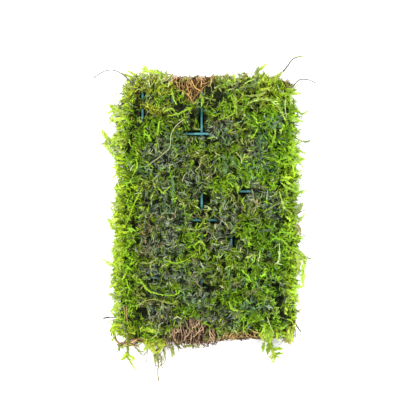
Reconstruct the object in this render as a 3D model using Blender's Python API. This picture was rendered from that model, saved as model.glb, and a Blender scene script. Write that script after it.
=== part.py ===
"""A mat of feathery moss grown over coated wire mesh on a thin pad of brown plant fibre.

The mat lies flat. Its origin is the middle of the pad's underside, +Z is up and +Y runs
along the mat's length. The wire mesh has a half-inch pitch, which sets the scale of the
whole mat. Lengths are in metres, written as millimetres times MM.
"""

import math
import random

import bmesh
import bpy
from mathutils import Vector, noise

MM = 0.001
GAP = 0.35 * MM  # room between touching pieces

# Fibre pad: a matted slab, its ragged outline listed counter-clockwise in millimetres.
PAD_THICKNESS = 6.0 * MM
PAD_OUTLINE = (
    (-35.5, -56.5), (-20, -57), (0, -56.8), (18, -55.8), (34, -55.6), (37.2, -52.5),
    (37.2, -42), (35.2, -32), (35, 0), (34.8, 30), (34.2, 50), (31.5, 54.8), (16, 55.2),
    (2, 56), (-8, 55.6), (-17, 56.4), (-31.5, 54.8), (-34.8, 50), (-35.8, 25),
    (-36.4, 0), (-36.4, -30), (-37.4, -52.5),
)
PAD_OUTLINE_STEP = 6.2 * MM
PAD_RAGGEDNESS = 0.7 * MM
PAD_FRAY_SIZE = 3.1 * MM
PAD_EDGE_ROUNDING = 0.9 * MM
PAD_FOOT_INSET = 0.45 * MM

# Beds of loose fibre that stand clear of the moss: middle x and y, half width, half
# length and height above the pad, in millimetres, then the way the strands comb out.
FIBRE_BEDS = {
    "top_bed": (-7.0, 50.6, 9.4, 5.2, 2.6, (0, 1)),
    "bottom_bed": (-4.8, -51.0, 14.0, 5.8, 2.2, (0, -1)),
    "bottom_strip": (22.6, -53.6, 13.4, 2.6, 1.8, (0, -1)),
    "top_right_bed": (32.6, 52.6, 2.2, 2.6, 2.0, (0, 1)),
    "lower_left_bed": (-32.4, -56.0, 4.6, 2.2, 1.6, (0, -1)),
    "lower_right_bed": (36.0, -45.4, 1.8, 7.0, 1.8, (1, 0)),
}
BED_CORNER_ROUNDING = 0.3
LOCK_SPACING = 3.0 * MM  # a lock is a bundle of strands combed together
LOCK_SPREAD = 0.94  # of the bed's width
LOCK_ROOT_PLACE = 0.9  # of the way back from the bed's middle
LOCK_CREST_PLACE = 0.6  # of the way from root to tip
LOCK_ROOT_SUNK = 0.4 * MM
LOCK_RADIUS = 2.1 * MM
LOCK_TIP_RADIUS = 0.6 * MM
LOCK_SIDES = 4
LOCK_CREST = (0.3, 0.9)  # of the bed's height
LOCK_OVERHANG = (0.6 * MM, 3.0 * MM)
LOCK_TIP_Z = (1.6 * MM, 6.4 * MM)
LOCK_CREST_LEAN = 0.5 * MM
LOCK_TIP_LEAN = 0.8 * MM

# Wire mesh: straight coated wires welded where they cross.
WIRE_DIAMETER = 1.05 * MM
WIRE_SIDES = 5
WELD_DEPTH = 0.3 * MM
LONG_WIRE_PITCH = 12.7 * MM
LONG_WIRE_FIRST_X = -29.0 * MM
LONG_WIRE_COUNT = 6
LONG_WIRE_ENDS_Y = (-44.6 * MM, 50.5 * MM)
CROSS_WIRE_PITCH = 12.37 * MM
CROSS_WIRE_FIRST_Y = -41.9 * MM
CROSS_WIRE_COUNT = 8
CROSS_WIRE_HALF_LENGTH = 34.3 * MM
LONG_WIRE_Z = PAD_THICKNESS + GAP + WIRE_DIAMETER / 2
CROSS_WIRE_Z = LONG_WIRE_Z + WIRE_DIAMETER - WELD_DEPTH
CHANNEL_FOOT = PAD_THICKNESS + 0.05 * MM

# Moss layer: the dense edge on each side as (distance along that side, place of the
# edge), in millimetres.
LEFT_EDGE = ((-58, -35.5), (-51, -39.4), (-30, -38.6), (-12, -39.4), (12, -38.4),
             (24, -39.0), (40, -37.2), (50, -36.2), (57, -34.0))
RIGHT_EDGE = ((-58, 34.0), (-51, 38.4), (-30, 37.4), (-12, 38.0), (12, 37.4),
              (24, 37.8), (40, 36.8), (50, 36.4), (57, 34.0))
BOTTOM_EDGE = ((-39, -55.0), (-33, -58.6), (-18, -58.8), (0, -57.8), (20, -57.2),
               (33, -56.8), (37, -54.0))
TOP_EDGE = ((-38, 54.0), (-31, 57.2), (-18, 57.4), (0, 57.8), (17, 57.8), (22, 58.6),
            (30, 57.0), (36, 54.0))
MOSS_HALF_WIDTH = 37.5 * MM
MOSS_HALF_LENGTH = 57.0 * MM
MOSS_COLUMNS = 24
MOSS_ROWS = 36
MOSS_MIDDLE_TOP = 13.6 * MM
MOSS_EDGE_TOP = 8.6 * MM
MOSS_SHOULDER = 9.0 * MM
CUSHION_SIZE = 9.5 * MM
CUSHION_HEIGHT = 5.0 * MM
CREASE_LEVEL = 0.35  # of a cushion's height
TUFT_SIZE = 3.6 * MM
TUFT_HEIGHT = 3.0 * MM
EDGE_TUFT_SHARE = 0.35  # of the tufts' height in the middle
LEAST_TOP = 9.8 * MM
FRINGE_REACH = (1.4 * MM, 6.4 * MM)
FRINGE_SHORTNESS = 1.5  # above 1, short tips are commoner than long ones
FRINGE_GAP_REACH = (-0.2 * MM, 0.8 * MM)
FRINGE_LEAN = 1.3 * MM
FRINGE_TIP_Z = (3.2 * MM, 6.8 * MM)
FRINGE_GAP_Z = 5.4 * MM
SKIRT_INSET = 0.4 * MM
SKIRT_Z = (1.0 * MM, 3.4 * MM)
SKIRT_FOLD_SHARE = 0.84  # of the layer's width and length
SKIRT_FOLD_Z = 3.0 * MM

# Shoots of the fringe that reach past the rest: root x, y and tip x, y in millimetres.
EDGE_SHOOTS = (
    (-33, 47.0, -40.8, 49.8), (-34, 41.5, -43.4, 45.0), (-34, 40.8, -42.4, 38.6),
    (-35, 36.5, -46.2, 32.2), (-35, 30.5, -47.2, 28.6), (-35, 14.0, -41.6, 14.6),
    (-36, -4.0, -43.8, -5.9), (-36, -14.5, -42.6, -17.4), (-36, -19.4, -47.2, -22.2),
    (-36, -34.4, -43.8, -36.9), (-36, -41.0, -43.0, -43.4), (-36, -45.6, -44.2, -49.6),
    (-34, -52.0, -41.4, -58.6), (33, 48.0, 40.4, 50.1), (33, 44.4, 42.5, 42.6),
    (33, 38.6, 41.0, 35.9), (34, 30.4, 40.8, 29.2), (34, 22.8, 41.2, 25.0),
    (34, 18.0, 40.6, 18.4), (34, 9.6, 40.2, 7.0), (34, -0.4, 41.4, -2.0),
    (34, -10.6, 42.8, -12.8), (34, -19.6, 42.0, -21.6), (34, -28.0, 41.8, -30.4),
    (33, -50.0, 39.8, -53.4), (-31, 52.5, -37.0, 58.9), (-29, 53.0, -33.6, 60.6),
    (-26, 53.5, -29.0, 61.8), (-27, 55.0, -19.6, 60.0), (10.6, 53.0, 14.2, 60.2),
    (19.0, 54.5, 24.8, 62.8), (27.0, 52.5, 31.8, 59.8), (-20, -54.0, -29.4, -62.8),
    (-14, -54.0, -15.4, -64.4), (-10.0, -56.0, -5.4, -61.8), (32.4, -52.5, 35.2, -58.6),
)
SHOOT_SIDES = 3
SHOOT_ROOT_Z = 8.6 * MM
SHOOT_TIP_Z = (2.8 * MM, 6.0 * MM)
SHOOT_BOW = 1.1 * MM
SHOOT_ROOT_RADIUS = 1.5 * MM
SHOOT_TIP_RADIUS = 0.55 * MM

# Trailing shoots and bare stems: root radius, tip radius, then the x, y, z places that
# each passes through, in millimetres.
TRAILING_SHOOTS = {
    "left_hanging_shoot": (1.7, 0.7, ((-35.6, -50, 10.4), (-35.2, -57.6, 10.0),
                                      (-35.0, -61.5, 6.4), (-34.6, -65, 3.0),
                                      (-32.2, -69.6, 1.3))),
    "left_hanging_twig": (0.9, 0.5, ((-35, -62, 5.6), (-38.8, -65.8, 1.8))),
    "middle_hanging_tuft": (2.4, 1.0, ((-22.2, -53, 8.4), (-22.4, -61, 5.2), (-22.6, -67.6, 2.0))),
    "middle_hanging_stem": (0.8, 0.45, ((-22.4, -62, 4.2), (-22.4, -69, 1.8),
                                        (-22.1, -75.2, 1.0))),
    "right_hanging_shoot": (2.6, 0.6, ((24.2, -48, 11.2), (24.8, -56.5, 10.8),
                                       (25.2, -60.4, 7.0), (26.3, -63.8, 3.2),
                                       (25.6, -67.2, 1.3))),
    "right_upper_twig": (0.9, 0.5, ((25.2, -60.2, 7.0), (31.6, -60.8, 3.0))),
    "right_lower_twig": (0.9, 0.5, ((26.0, -62.4, 4.6), (31.8, -63.2, 2.0))),
    "top_left_stem": (1.0, 0.45, ((-33, 52.4, 9.4), (-39.8, 56.4, 8), (-42.9, 59.7, 6.2),
                                  (-46.6, 59.4, 4), (-51.0, 56.8, 1.6))),
    "top_right_stem": (1.4, 0.6, ((25.0, 48.6, 12), (31.0, 58.0, 10.8), (34.8, 63.2, 7.4),
                                  (37.8, 65.6, 4.6), (41.2, 66.6, 2.4))),
    "right_stem": (0.9, 0.45, ((30.6, 48.6, 11.4), (35.6, 52.6, 11.0), (38.6, 55.6, 8.4),
                               (45.8, 54.8, 2.4))),
    "lower_left_stem": (0.9, 0.45, ((-35, -46.4, 8.6), (-42.0, -47.0, 6), (-47.8, -47.8, 2.4))),
}
TRAILING_SIDES = 4
SHOOT_STEP = 6.0 * MM

# Standing tufts that break the top into points.
TUFT_COUNT = 24
TUFT_SIDES = 4
TUFT_PLACES = 52  # along the length, before those over bare places are left out
TUFT_SPREAD_X = 32.0 * MM
TUFT_SPREAD_Y = 50.0 * MM
TUFT_BASE_RADIUS = 1.9 * MM
TUFT_STAND = 2.6 * MM
TUFT_SUNK = 2.0 * MM
TUFT_LEAN = 2.6 * MM
TUFT_CLEAR_OF_OPENING = 3.4 * MM

# Openings in the moss down to the pad, where wire shows: middle x and y, half width and
# half length at the foot, in millimetres. The hollows are dark gaps between the cushions.
OPENINGS = {
    "upper_left_wire": (-29.0, 43.8, 1.7, 6.2),
    "left_side_hollow": (-32.2, 43.9, 2.6, 1.6),
    "second_wire": (-16.2, 47.2, 1.2, 2.0),
    "upper_wire_along": (-3.5, 37.4, 1.6, 6.6),
    "upper_wire_across": (-4.6, 32.2, 7.4, 1.5),
    "middle_wire_along": (-3.5, 3.0, 1.8, 5.4),
    "middle_wire_across": (15.2, 7.5, 3.2, 1.4),
    "middle_faint_wire": (-1.6, -4.9, 5.6, 1.2),
    "lower_wire_along": (9.2, -14.0, 1.6, 2.9),
    "lower_faint_wire": (-3.5, -30.6, 1.3, 2.6),
    "left_faint_wire": (-24.2, -29.9, 2.5, 1.3),
    "top_hollow": (3.9, 48.6, 2.2, 3.0),
    "left_hollow": (-33.0, 35.2, 1.5, 1.8),
}
OPENING_FLARE = 0.7 * MM
OPENING_CORNERS = 6
OPENING_CORNER_REACH = 1.08  # of the half width and length
OPENING_RAGGEDNESS = 0.16
CUTTER_TOP = 24.0 * MM
CUTTER_FOOT = 5.0 * MM
NOTCH_STEP = 2.4 * MM
NOTCH_ROOM = -0.6 * MM
NOTCH_RAGGEDNESS = 0.9 * MM
NOTCH_FRAY_SIZE = 2.7 * MM
NOTCH_FOOT_Z = 0.4 * MM
NOTCH_PAST_EDGE = 9.0 * MM
NOTCH_FLARE = 5.5 * MM
PAD_ROOM_FOOT_Z = -2.0 * MM

BENT_FACE = math.radians(0.5)
SEED = 11


def start_empty():
    """Removes whatever the scene holds."""
    for old in list(bpy.data.objects):
        bpy.data.objects.remove(old)


def make_material(name, colour, roughness, coat=0.0):
    """A plain material of one colour."""
    material = bpy.data.materials.new(name)
    material.use_nodes = True
    shader = material.node_tree.nodes["Principled BSDF"]
    shader.inputs["Base Color"].default_value = (*colour, 1.0)
    shader.inputs["Roughness"].default_value = roughness
    shader.inputs["Coat Weight"].default_value = coat
    return material


def add_object(name, points, faces):
    """Makes an object of a closed mesh, its bent faces cut in two and all turned outward."""
    mesh = bpy.data.meshes.new(name)
    mesh.from_pydata([tuple(point) for point in points], [], faces)
    sculpt = bmesh.new()
    sculpt.from_mesh(mesh)
    bent = [face for face in sculpt.faces if len(face.verts) == 4]
    bmesh.ops.connect_verts_nonplanar(sculpt, faces=bent, angle_limit=BENT_FACE)
    bmesh.ops.recalc_face_normals(sculpt, faces=sculpt.faces)
    sculpt.to_mesh(mesh)
    sculpt.free()
    solid = bpy.data.objects.new(name, mesh)
    bpy.context.scene.collection.objects.link(solid)
    return solid


def along(table, place):
    """Reads a table of (place, value) rows, both in millimetres, with smooth joins."""
    place = place / MM
    for (low, first), (high, last) in zip(table, table[1:]):
        if place <= high:
            break
    share = min(max((place - low) / (high - low), 0.0), 1.0)
    share = share * share * (3 - 2 * share)
    return (first + (last - first) * share) * MM


def smooth_stretch(before, start, end, after, step):
    """Points about a step apart from start to end, on a curve that its neighbours bend."""
    pieces = max(1, round((end - start).length / step))
    stretch = []
    for piece in range(1, pieces + 1):
        t = piece / pieces
        bend = (before * -1 + start * 3 - end * 3 + after) * t ** 3
        bend += (before * 2 - start * 5 + end * 4 - after) * t ** 2
        stretch.append(start + ((end - before) * t + bend) * 0.5)
    return stretch


def smooth_path(points, step):
    """Points about a step apart on a smooth curve through the given points."""
    ends = [points[0] * 2 - points[1], *points, points[-1] * 2 - points[-2]]
    path = [points[0]]
    for four in zip(ends, ends[1:], ends[2:], ends[3:]):
        path += smooth_stretch(*four, step)
    return path


def smooth_loop(corners, step):
    """Points about a step apart on a smooth closed curve through the corners."""
    count = len(corners)
    loop = []
    for k in range(count):
        four = (corners[(k + offset) % count] for offset in (-1, 0, 1, 2))
        loop += smooth_stretch(*four, step)
    return loop


def border(columns, rows):
    """The places round the edge of a grid, counter-clockwise."""
    south = [(i, 0) for i in range(columns)]
    east = [(columns, j) for j in range(rows)]
    north = [(i, rows) for i in range(columns, 0, -1)]
    west = [(0, j) for j in range(rows, 0, -1)]
    return south + east + north + west


def outward(ring):
    """The level direction out of a counter-clockwise ring at each of its points."""
    directions = []
    for k, _ in enumerate(ring):
        run = ring[(k + 1) % len(ring)] - ring[k - 1]
        directions.append(Vector((run.y, -run.x, 0)).normalized())
    return directions


def rings_solid(name, rings, top_faces=None):
    """A closed solid of rings of points, each below the one before, with a flat foot."""
    points = []
    faces = list(top_faces or [tuple(range(len(rings[0])))])
    for ring in rings:
        points.extend(ring)
    count = len(rings[0])
    for level in range(len(rings) - 1):
        for k in range(count):
            after = (k + 1) % count
            upper, lower = level * count, (level + 1) * count
            faces.append((upper + k, lower + k, lower + after, upper + after))
    foot = (len(rings) - 1) * count
    faces.append(tuple(foot + k for k in reversed(range(count))))
    return add_object(name, points, faces)


def sheet_solid(name, grid, skirts):
    """A closed solid under a grid of top points, with rings of points below its edge."""
    columns, rows = len(grid) - 1, len(grid[0]) - 1
    index = {}
    points = []
    for i in range(columns + 1):
        for j in range(rows + 1):
            index[i, j] = len(points)
            points.append(grid[i][j])
    faces = []
    for i in range(columns):
        for j in range(rows):
            corners = (i, j), (i + 1, j), (i + 1, j + 1), (i, j + 1)
            faces.append(tuple(index[corner] for corner in corners))
    upper = [index[place] for place in border(columns, rows)]
    for ring in skirts:
        lower = [len(points) + k for k in range(len(ring))]
        points.extend(ring)
        for k in range(len(ring)):
            after = (k + 1) % len(ring)
            faces.append((upper[k], lower[k], lower[after], upper[after]))
        upper = lower
    faces.append(tuple(reversed(upper)))
    return add_object(name, points, faces)


def tapered_tube(name, path, root_radius, tip_radius, sides):
    """A thin faceted tube along a path, narrowing to a point."""
    rings = []
    last = len(path) - 1
    for k, middle in enumerate(path[:-1]):
        run = (path[k + 1] - path[max(k - 1, 0)]).normalized()
        side = run.cross(Vector((0, 0, 1))).normalized()
        over = side.cross(run)
        radius = root_radius + (tip_radius - root_radius) * k / last
        ring = []
        for corner in range(sides):
            turn = 2 * math.pi * (corner + 0.5 * (k % 2)) / sides
            ring.append(middle + (side * math.cos(turn) + over * math.sin(turn)) * radius)
        rings.append(ring)
    points = [point for ring in rings for point in ring] + [path[-1]]
    faces = [tuple(reversed(range(sides)))]
    for level in range(len(rings) - 1):
        for k in range(sides):
            after = (k + 1) % sides
            low, high = level * sides, (level + 1) * sides
            faces.append((low + k, low + after, high + after, high + k))
    foot = (len(rings) - 1) * sides
    for k in range(sides):
        faces.append((foot + k, foot + (k + 1) % sides, len(points) - 1))
    return add_object(name, points, faces)


def prism(name, corners, foot_z, top_z, flare):
    """A straight-sided solid on an outline, spread outward by the flare at its top."""
    spread = [corner + out * flare for corner, out in zip(corners, outward(corners))]
    top = [Vector((point.x, point.y, top_z)) for point in spread]
    foot = [Vector((point.x, point.y, foot_z)) for point in corners]
    return rings_solid(name, [top, foot])


def as_group(name, solids):
    """Puts helper solids in a collection and keeps them out of the finished part."""
    group = bpy.data.collections.new(name)
    bpy.context.scene.collection.children.link(group)
    for solid in solids:
        bpy.context.scene.collection.objects.unlink(solid)
        group.objects.link(solid)
        solid.hide_render = True
        solid.display_type = "WIRE"
    return group


def combine(solid, operation, group):
    """Adds or takes away every solid of a group."""
    step = solid.modifiers.new(f"{operation.lower()} {group.name}", "BOOLEAN")
    step.operation = operation
    step.operand_type = "COLLECTION"
    step.collection = group
    step.solver = "MANIFOLD"


def finish_shape(solid):
    """Applies the joins and cuts, and drops crumbs that they leave loose."""
    graph = bpy.context.evaluated_depsgraph_get()
    shaped = bpy.data.meshes.new_from_object(solid.evaluated_get(graph))
    solid.modifiers.clear()
    solid.data = shaped
    sculpt = bmesh.new()
    sculpt.from_mesh(shaped)
    bmesh.ops.triangulate(sculpt, faces=sculpt.faces)
    bodies = []
    unseen = set(sculpt.verts)
    while unseen:
        body = [unseen.pop()]
        for vertex in body:
            for edge in vertex.link_edges:
                other = edge.other_vert(vertex)
                if other in unseen:
                    unseen.remove(other)
                    body.append(other)
        bodies.append(body)
    bodies.sort(key=len)
    crumbs = [vertex for body in bodies[:-1] for vertex in body]
    bmesh.ops.delete(sculpt, geom=crumbs, context="VERTS")
    sculpt.to_mesh(shaped)
    sculpt.free()


def even_noise(x, y, size, layer):
    """Even noise between -1 and 1 with features of about the given size."""
    return noise.noise(Vector((x / size, y / size, layer)))


def pad_ring(grow):
    """The pad's ragged outline, moved outward by an amount."""
    corners = [Vector((x * MM, y * MM, 0)) for x, y in PAD_OUTLINE]
    ring = smooth_loop(corners, PAD_OUTLINE_STEP)
    ragged = []
    for point, out in zip(ring, outward(ring)):
        fray = even_noise(point.x, point.y, PAD_FRAY_SIZE, layer=4) * PAD_RAGGEDNESS
        ragged.append(point + out * (fray + grow))
    return ragged


def level(ring, inset, z):
    """A ring drawn inward and set at one height."""
    moved = [point - out * inset for point, out in zip(ring, outward(ring))]
    return [Vector((point.x, point.y, z)) for point in moved]


def bed_place(name, u, v, grow=0.0):
    """A place in a bed of fibre, u and v running from -1 to 1 between its edges."""
    x, y, half_width, half_length = (value * MM for value in FIBRE_BEDS[name][:4])
    bulge = math.sqrt(1 - BED_CORNER_ROUNDING * u * u * v * v)
    return Vector((x + (half_width + grow) * u * bulge, y + (half_length + grow) * v * bulge, 0))


def fibre_locks(name, grow):
    """The locks of strands combed over a bed, their tips hanging past the pad's edge."""
    half_width, half_length, height = (value * MM for value in FIBRE_BEDS[name][2:5])
    comb = Vector((*FIBRE_BEDS[name][5], 0))
    chance = random.Random(name)
    width = 2 * (half_width if comb.y else half_length)
    count = round(width / LOCK_SPACING)
    locks = []
    for k in range(count):
        across = (2 * (k + 0.5) / count - 1) * LOCK_SPREAD
        if comb.y:
            root = bed_place(name, across, -comb.y * LOCK_ROOT_PLACE)
            edge = bed_place(name, across, comb.y)
        else:
            root = bed_place(name, -comb.x * LOCK_ROOT_PLACE, across)
            edge = bed_place(name, comb.x, across)
        lean = comb.cross(Vector((0, 0, 1))) * chance.uniform(-1, 1)
        crest = root.lerp(edge, LOCK_CREST_PLACE) + lean * LOCK_CREST_LEAN
        tip = edge + comb * chance.uniform(*LOCK_OVERHANG) + lean * LOCK_TIP_LEAN
        root.z = PAD_THICKNESS - LOCK_ROOT_SUNK
        crest.z = PAD_THICKNESS + height * chance.uniform(*LOCK_CREST)
        tip.z = chance.uniform(*LOCK_TIP_Z)
        locks.append(tapered_tube(f"{name}_lock_{k + 1}", [root, crest, tip],
                                  LOCK_RADIUS + grow, LOCK_TIP_RADIUS + grow, LOCK_SIDES))
    return locks


def loose_fibre(grow):
    """The locks of every bed, or the room that they need in the moss."""
    return [lock for name in FIBRE_BEDS for lock in fibre_locks(name, grow)]


def make_fibre_pad(material):
    """The pad: a slab of matted fibre with beds of loose strands fused on."""
    ring = pad_ring(0.0)
    rounding = PAD_EDGE_ROUNDING
    rings = [
        level(ring, rounding, PAD_THICKNESS),
        level(ring, 0.0, PAD_THICKNESS - rounding),
        level(ring, PAD_FOOT_INSET, 0.0),
    ]
    pad = rings_solid("fibre_pad", rings)
    combine(pad, "UNION", as_group("loose fibre", loose_fibre(0.0)))
    combine(pad, "DIFFERENCE", as_group("wire room", wire_channels("pad_channel")))
    finish_shape(pad)
    pad.data.materials.append(material)
    return pad


def wire_run(name, start, end, radius, sides):
    """One straight wire, or the channel that holds it, between two points."""
    run = (end - start).normalized()
    side = run.cross(Vector((0, 0, 1))).normalized()
    rings = []
    for middle in (start, end):
        ring = []
        for corner in range(sides):
            turn = 2 * math.pi * (corner + 0.5) / sides
            ring.append(middle + (side * math.cos(turn) + Vector((0, 0, math.sin(turn)))) * radius)
        rings.append(ring)
    return rings_solid(name, rings)


def wire_ends():
    """The two ends of every wire: the lengthwise ones first, then the crosswise ones."""
    lengthwise = []
    for k in range(LONG_WIRE_COUNT):
        x = LONG_WIRE_FIRST_X + LONG_WIRE_PITCH * k
        lengthwise.append([Vector((x, y, LONG_WIRE_Z)) for y in LONG_WIRE_ENDS_Y])
    crosswise = []
    for k in range(CROSS_WIRE_COUNT):
        y = CROSS_WIRE_FIRST_Y + CROSS_WIRE_PITCH * k
        reach = Vector((CROSS_WIRE_HALF_LENGTH, 0, 0))
        middle = Vector((0, y, CROSS_WIRE_Z))
        crosswise.append([middle - reach, middle + reach])
    return lengthwise, crosswise


def make_wire_mesh(material):
    """The welded mesh: lengthwise wires below, crosswise wires sunk into them."""
    lengthwise, crosswise = wire_ends()
    wires = []
    for k, (start, end) in enumerate(lengthwise + crosswise):
        wires.append(wire_run(f"wire_{k + 1}", start, end, WIRE_DIAMETER / 2, WIRE_SIDES))
    mesh = wires[0]
    mesh.name = "wire_mesh"
    combine(mesh, "UNION", as_group("other wires", wires[1:]))
    finish_shape(mesh)
    mesh.data.shade_smooth()
    mesh.data.materials.append(material)
    return mesh


def moss_place(u, v):
    """The place on the mat of a share u of its width and v of its length, -1 to 1."""
    y_straight = v * MOSS_HALF_LENGTH
    x_straight = u * MOSS_HALF_WIDTH
    left, right = along(LEFT_EDGE, y_straight), along(RIGHT_EDGE, y_straight)
    low, high = along(BOTTOM_EDGE, x_straight), along(TOP_EDGE, x_straight)
    x = left + (right - left) * (u + 1) / 2
    y = low + (high - low) * (v + 1) / 2
    return x, y


def moss_top(x, y, edge_distance):
    """Height of the moss: cushions parted by creases, with fine tufts on them."""
    shoulder = min(edge_distance / MOSS_SHOULDER, 1.0)
    shoulder = math.sin(shoulder * math.pi / 2)
    height = MOSS_EDGE_TOP + (MOSS_MIDDLE_TOP - MOSS_EDGE_TOP) * shoulder
    spot = Vector((x / CUSHION_SIZE, y / CUSHION_SIZE, 0.5))
    crease = noise.voronoi(spot)[0][0]
    height += CUSHION_HEIGHT * (CREASE_LEVEL - crease) * shoulder
    tuft_share = EDGE_TUFT_SHARE + (1 - EDGE_TUFT_SHARE) * shoulder
    height += TUFT_HEIGHT * even_noise(x, y, TUFT_SIZE, layer=2) * tuft_share
    return max(height, min(LEAST_TOP, MOSS_EDGE_TOP + shoulder * MM))


def moss_layer():
    """The felted layer of moss with its fringe, before it is cut to fit the pad."""
    chance = random.Random(SEED)
    grid = []
    for i in range(MOSS_COLUMNS + 1):
        line = []
        for j in range(MOSS_ROWS + 1):
            x, y = moss_place(2 * i / MOSS_COLUMNS - 1, 2 * j / MOSS_ROWS - 1)
            side = min(i, MOSS_COLUMNS - i) / MOSS_COLUMNS * 2 * MOSS_HALF_WIDTH
            end = min(j, MOSS_ROWS - j) / MOSS_ROWS * 2 * MOSS_HALF_LENGTH
            line.append(Vector((x, y, moss_top(x, y, min(side, end)))))
        grid.append(line)
    edge = [grid[i][j] for i, j in border(MOSS_COLUMNS, MOSS_ROWS)]
    fringe = []
    skirt = []
    for k, (point, out) in enumerate(zip(edge, outward(edge))):
        if k % 2:
            reach, z = chance.uniform(*FRINGE_GAP_REACH), FRINGE_GAP_Z
        else:
            least, most = FRINGE_REACH
            reach = least + (most - least) * chance.random() ** FRINGE_SHORTNESS
            z = chance.uniform(*FRINGE_TIP_Z)
        across = Vector((-out.y, out.x, 0)) * chance.uniform(-FRINGE_LEAN, FRINGE_LEAN) * (1 - k % 2)
        tip = point + out * reach + across
        fringe.append(Vector((tip.x, tip.y, z)))
        foot = point - out * SKIRT_INSET
        skirt.append(Vector((foot.x, foot.y, chance.uniform(*SKIRT_Z))))
    fold = [Vector((point.x * SKIRT_FOLD_SHARE, point.y * SKIRT_FOLD_SHARE, SKIRT_FOLD_Z))
            for point in edge]
    return sheet_solid("moss", grid, [fringe, skirt, fold])


def edge_shoots():
    """The longer shoots of the fringe, drooping from the layer's edge."""
    chance = random.Random(SEED + 1)
    shoots = []
    for k, (root_x, root_y, tip_x, tip_y) in enumerate(EDGE_SHOOTS):
        root = Vector((root_x * MM, root_y * MM, SHOOT_ROOT_Z))
        tip = Vector((tip_x * MM, tip_y * MM, chance.uniform(*SHOOT_TIP_Z)))
        bow = (root + tip) / 2 + Vector((0, 0, SHOOT_BOW))
        path = smooth_path([root, bow, tip], SHOOT_STEP)
        shoots.append(tapered_tube(f"edge_shoot_{k + 1}", path, SHOOT_ROOT_RADIUS,
                                   SHOOT_TIP_RADIUS, SHOOT_SIDES))
    return shoots


def trailing_shoots():
    """The shoots and bare stems that trail past the fringe and come down to the ground."""
    shoots = []
    for name, (root_radius, tip_radius, places) in TRAILING_SHOOTS.items():
        points = [Vector(place) * MM for place in places]
        path = smooth_path(points, SHOOT_STEP)
        shoots.append(tapered_tube(name, path, root_radius * MM, tip_radius * MM,
                                   TRAILING_SIDES))
    return shoots


def near_opening(x, y):
    """Whether a place is over or close beside an opening or a bed of fibre."""
    holes = list(OPENINGS.values()) + [bed[:4] for bed in FIBRE_BEDS.values()]
    for hole_x, hole_y, half_width, half_length in holes:
        across = abs(x - hole_x * MM) - half_width * MM
        lengthways = abs(y - hole_y * MM) - half_length * MM
        if max(across, lengthways) < TUFT_CLEAR_OF_OPENING:
            return True
    return False


def standing_tufts():
    """Pointed tufts spread evenly over the top, each leaning its own way."""
    chance = random.Random(SEED + 2)
    golden = (math.sqrt(5) - 1) / 2
    tufts = []
    place = 0
    while len(tufts) < TUFT_COUNT:
        place += 1
        x = (2 * (place * golden % 1) - 1) * TUFT_SPREAD_X
        y = (2 * ((place + 0.5) / TUFT_PLACES % 1) - 1) * TUFT_SPREAD_Y
        if near_opening(x, y):
            continue
        top = moss_top(x, y, MOSS_SHOULDER)
        foot = Vector((x, y, top - TUFT_SUNK))
        lean = Vector((chance.uniform(-1, 1), chance.uniform(-1, 1), 0)) * TUFT_LEAN
        tip = foot + lean + Vector((0, 0, TUFT_SUNK + TUFT_STAND))
        tufts.append(tapered_tube(f"tuft_{len(tufts) + 1}", [foot, tip], TUFT_BASE_RADIUS, 0,
                                  TUFT_SIDES))
    return tufts


def wire_channels(name):
    """The channels that the wires lie in, with a gap all round."""
    lengthwise, crosswise = wire_ends()
    room = WIRE_DIAMETER / 2 + GAP
    channels = []
    for k, (start, end) in enumerate(lengthwise + crosswise):
        run = (end - start).normalized() * room
        side = Vector((run.y, -run.x, 0))
        corners = [start - run + side, end + run + side, end + run - side, start - run - side]
        top = start.z + room
        channels.append(prism(f"{name}_{k + 1}", corners, CHANNEL_FOOT, top, 0.0))
    return channels


def opening_cutters():
    """The openings down to the pad, where the wires show."""
    cutters = []
    for name, values in OPENINGS.items():
        x, y, half_width, half_length = (value * MM for value in values)
        corners = []
        for corner in range(OPENING_CORNERS):
            turn = 2 * math.pi * (corner + 0.5) / OPENING_CORNERS
            ragged = OPENING_RAGGEDNESS * even_noise(x, y, MM, layer=corner)
            reach = OPENING_CORNER_REACH + ragged
            corners.append(Vector((x + math.cos(turn) * half_width * reach,
                                   y + math.sin(turn) * half_length * reach, 0)))
        cutters.append(prism(name, corners, CUTTER_FOOT, CUTTER_TOP, OPENING_FLARE))
    return cutters


def notch_cutters():
    """The bare places in the moss over each bed of loose fibre, flared upward."""
    cutters = []
    for name in FIBRE_BEDS:
        half_width, half_length = (value * MM for value in FIBRE_BEDS[name][2:4])
        columns = max(3, round(half_width / NOTCH_STEP))
        rows = max(3, round(half_length / NOTCH_STEP))
        corners = []
        comb = Vector((*FIBRE_BEDS[name][5], 0))
        for i, j in border(columns, rows):
            u, v = 2 * i / columns - 1, 2 * j / rows - 1
            corner = bed_place(name, u, v, NOTCH_ROOM)
            fray = even_noise(corner.x, corner.y, NOTCH_FRAY_SIZE, layer=6) * NOTCH_RAGGEDNESS
            corner += corner.normalized() * fray
            at_outer_edge = (u == comb.x) if comb.x else (v == comb.y)
            if at_outer_edge:
                corner += comb * NOTCH_PAST_EDGE
            corners.append(corner)
        cutters.append(prism(f"{name}_notch", corners, NOTCH_FOOT_Z, CUTTER_TOP, NOTCH_FLARE))
    return cutters


def pad_room():
    """The room inside the moss that the pad fills."""
    ring = pad_ring(GAP)
    top = level(ring, 0.0, PAD_THICKNESS + GAP)
    foot = level(ring, 0.0, PAD_ROOM_FOOT_Z)
    return rings_solid("pad_room", [top, foot])


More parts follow.
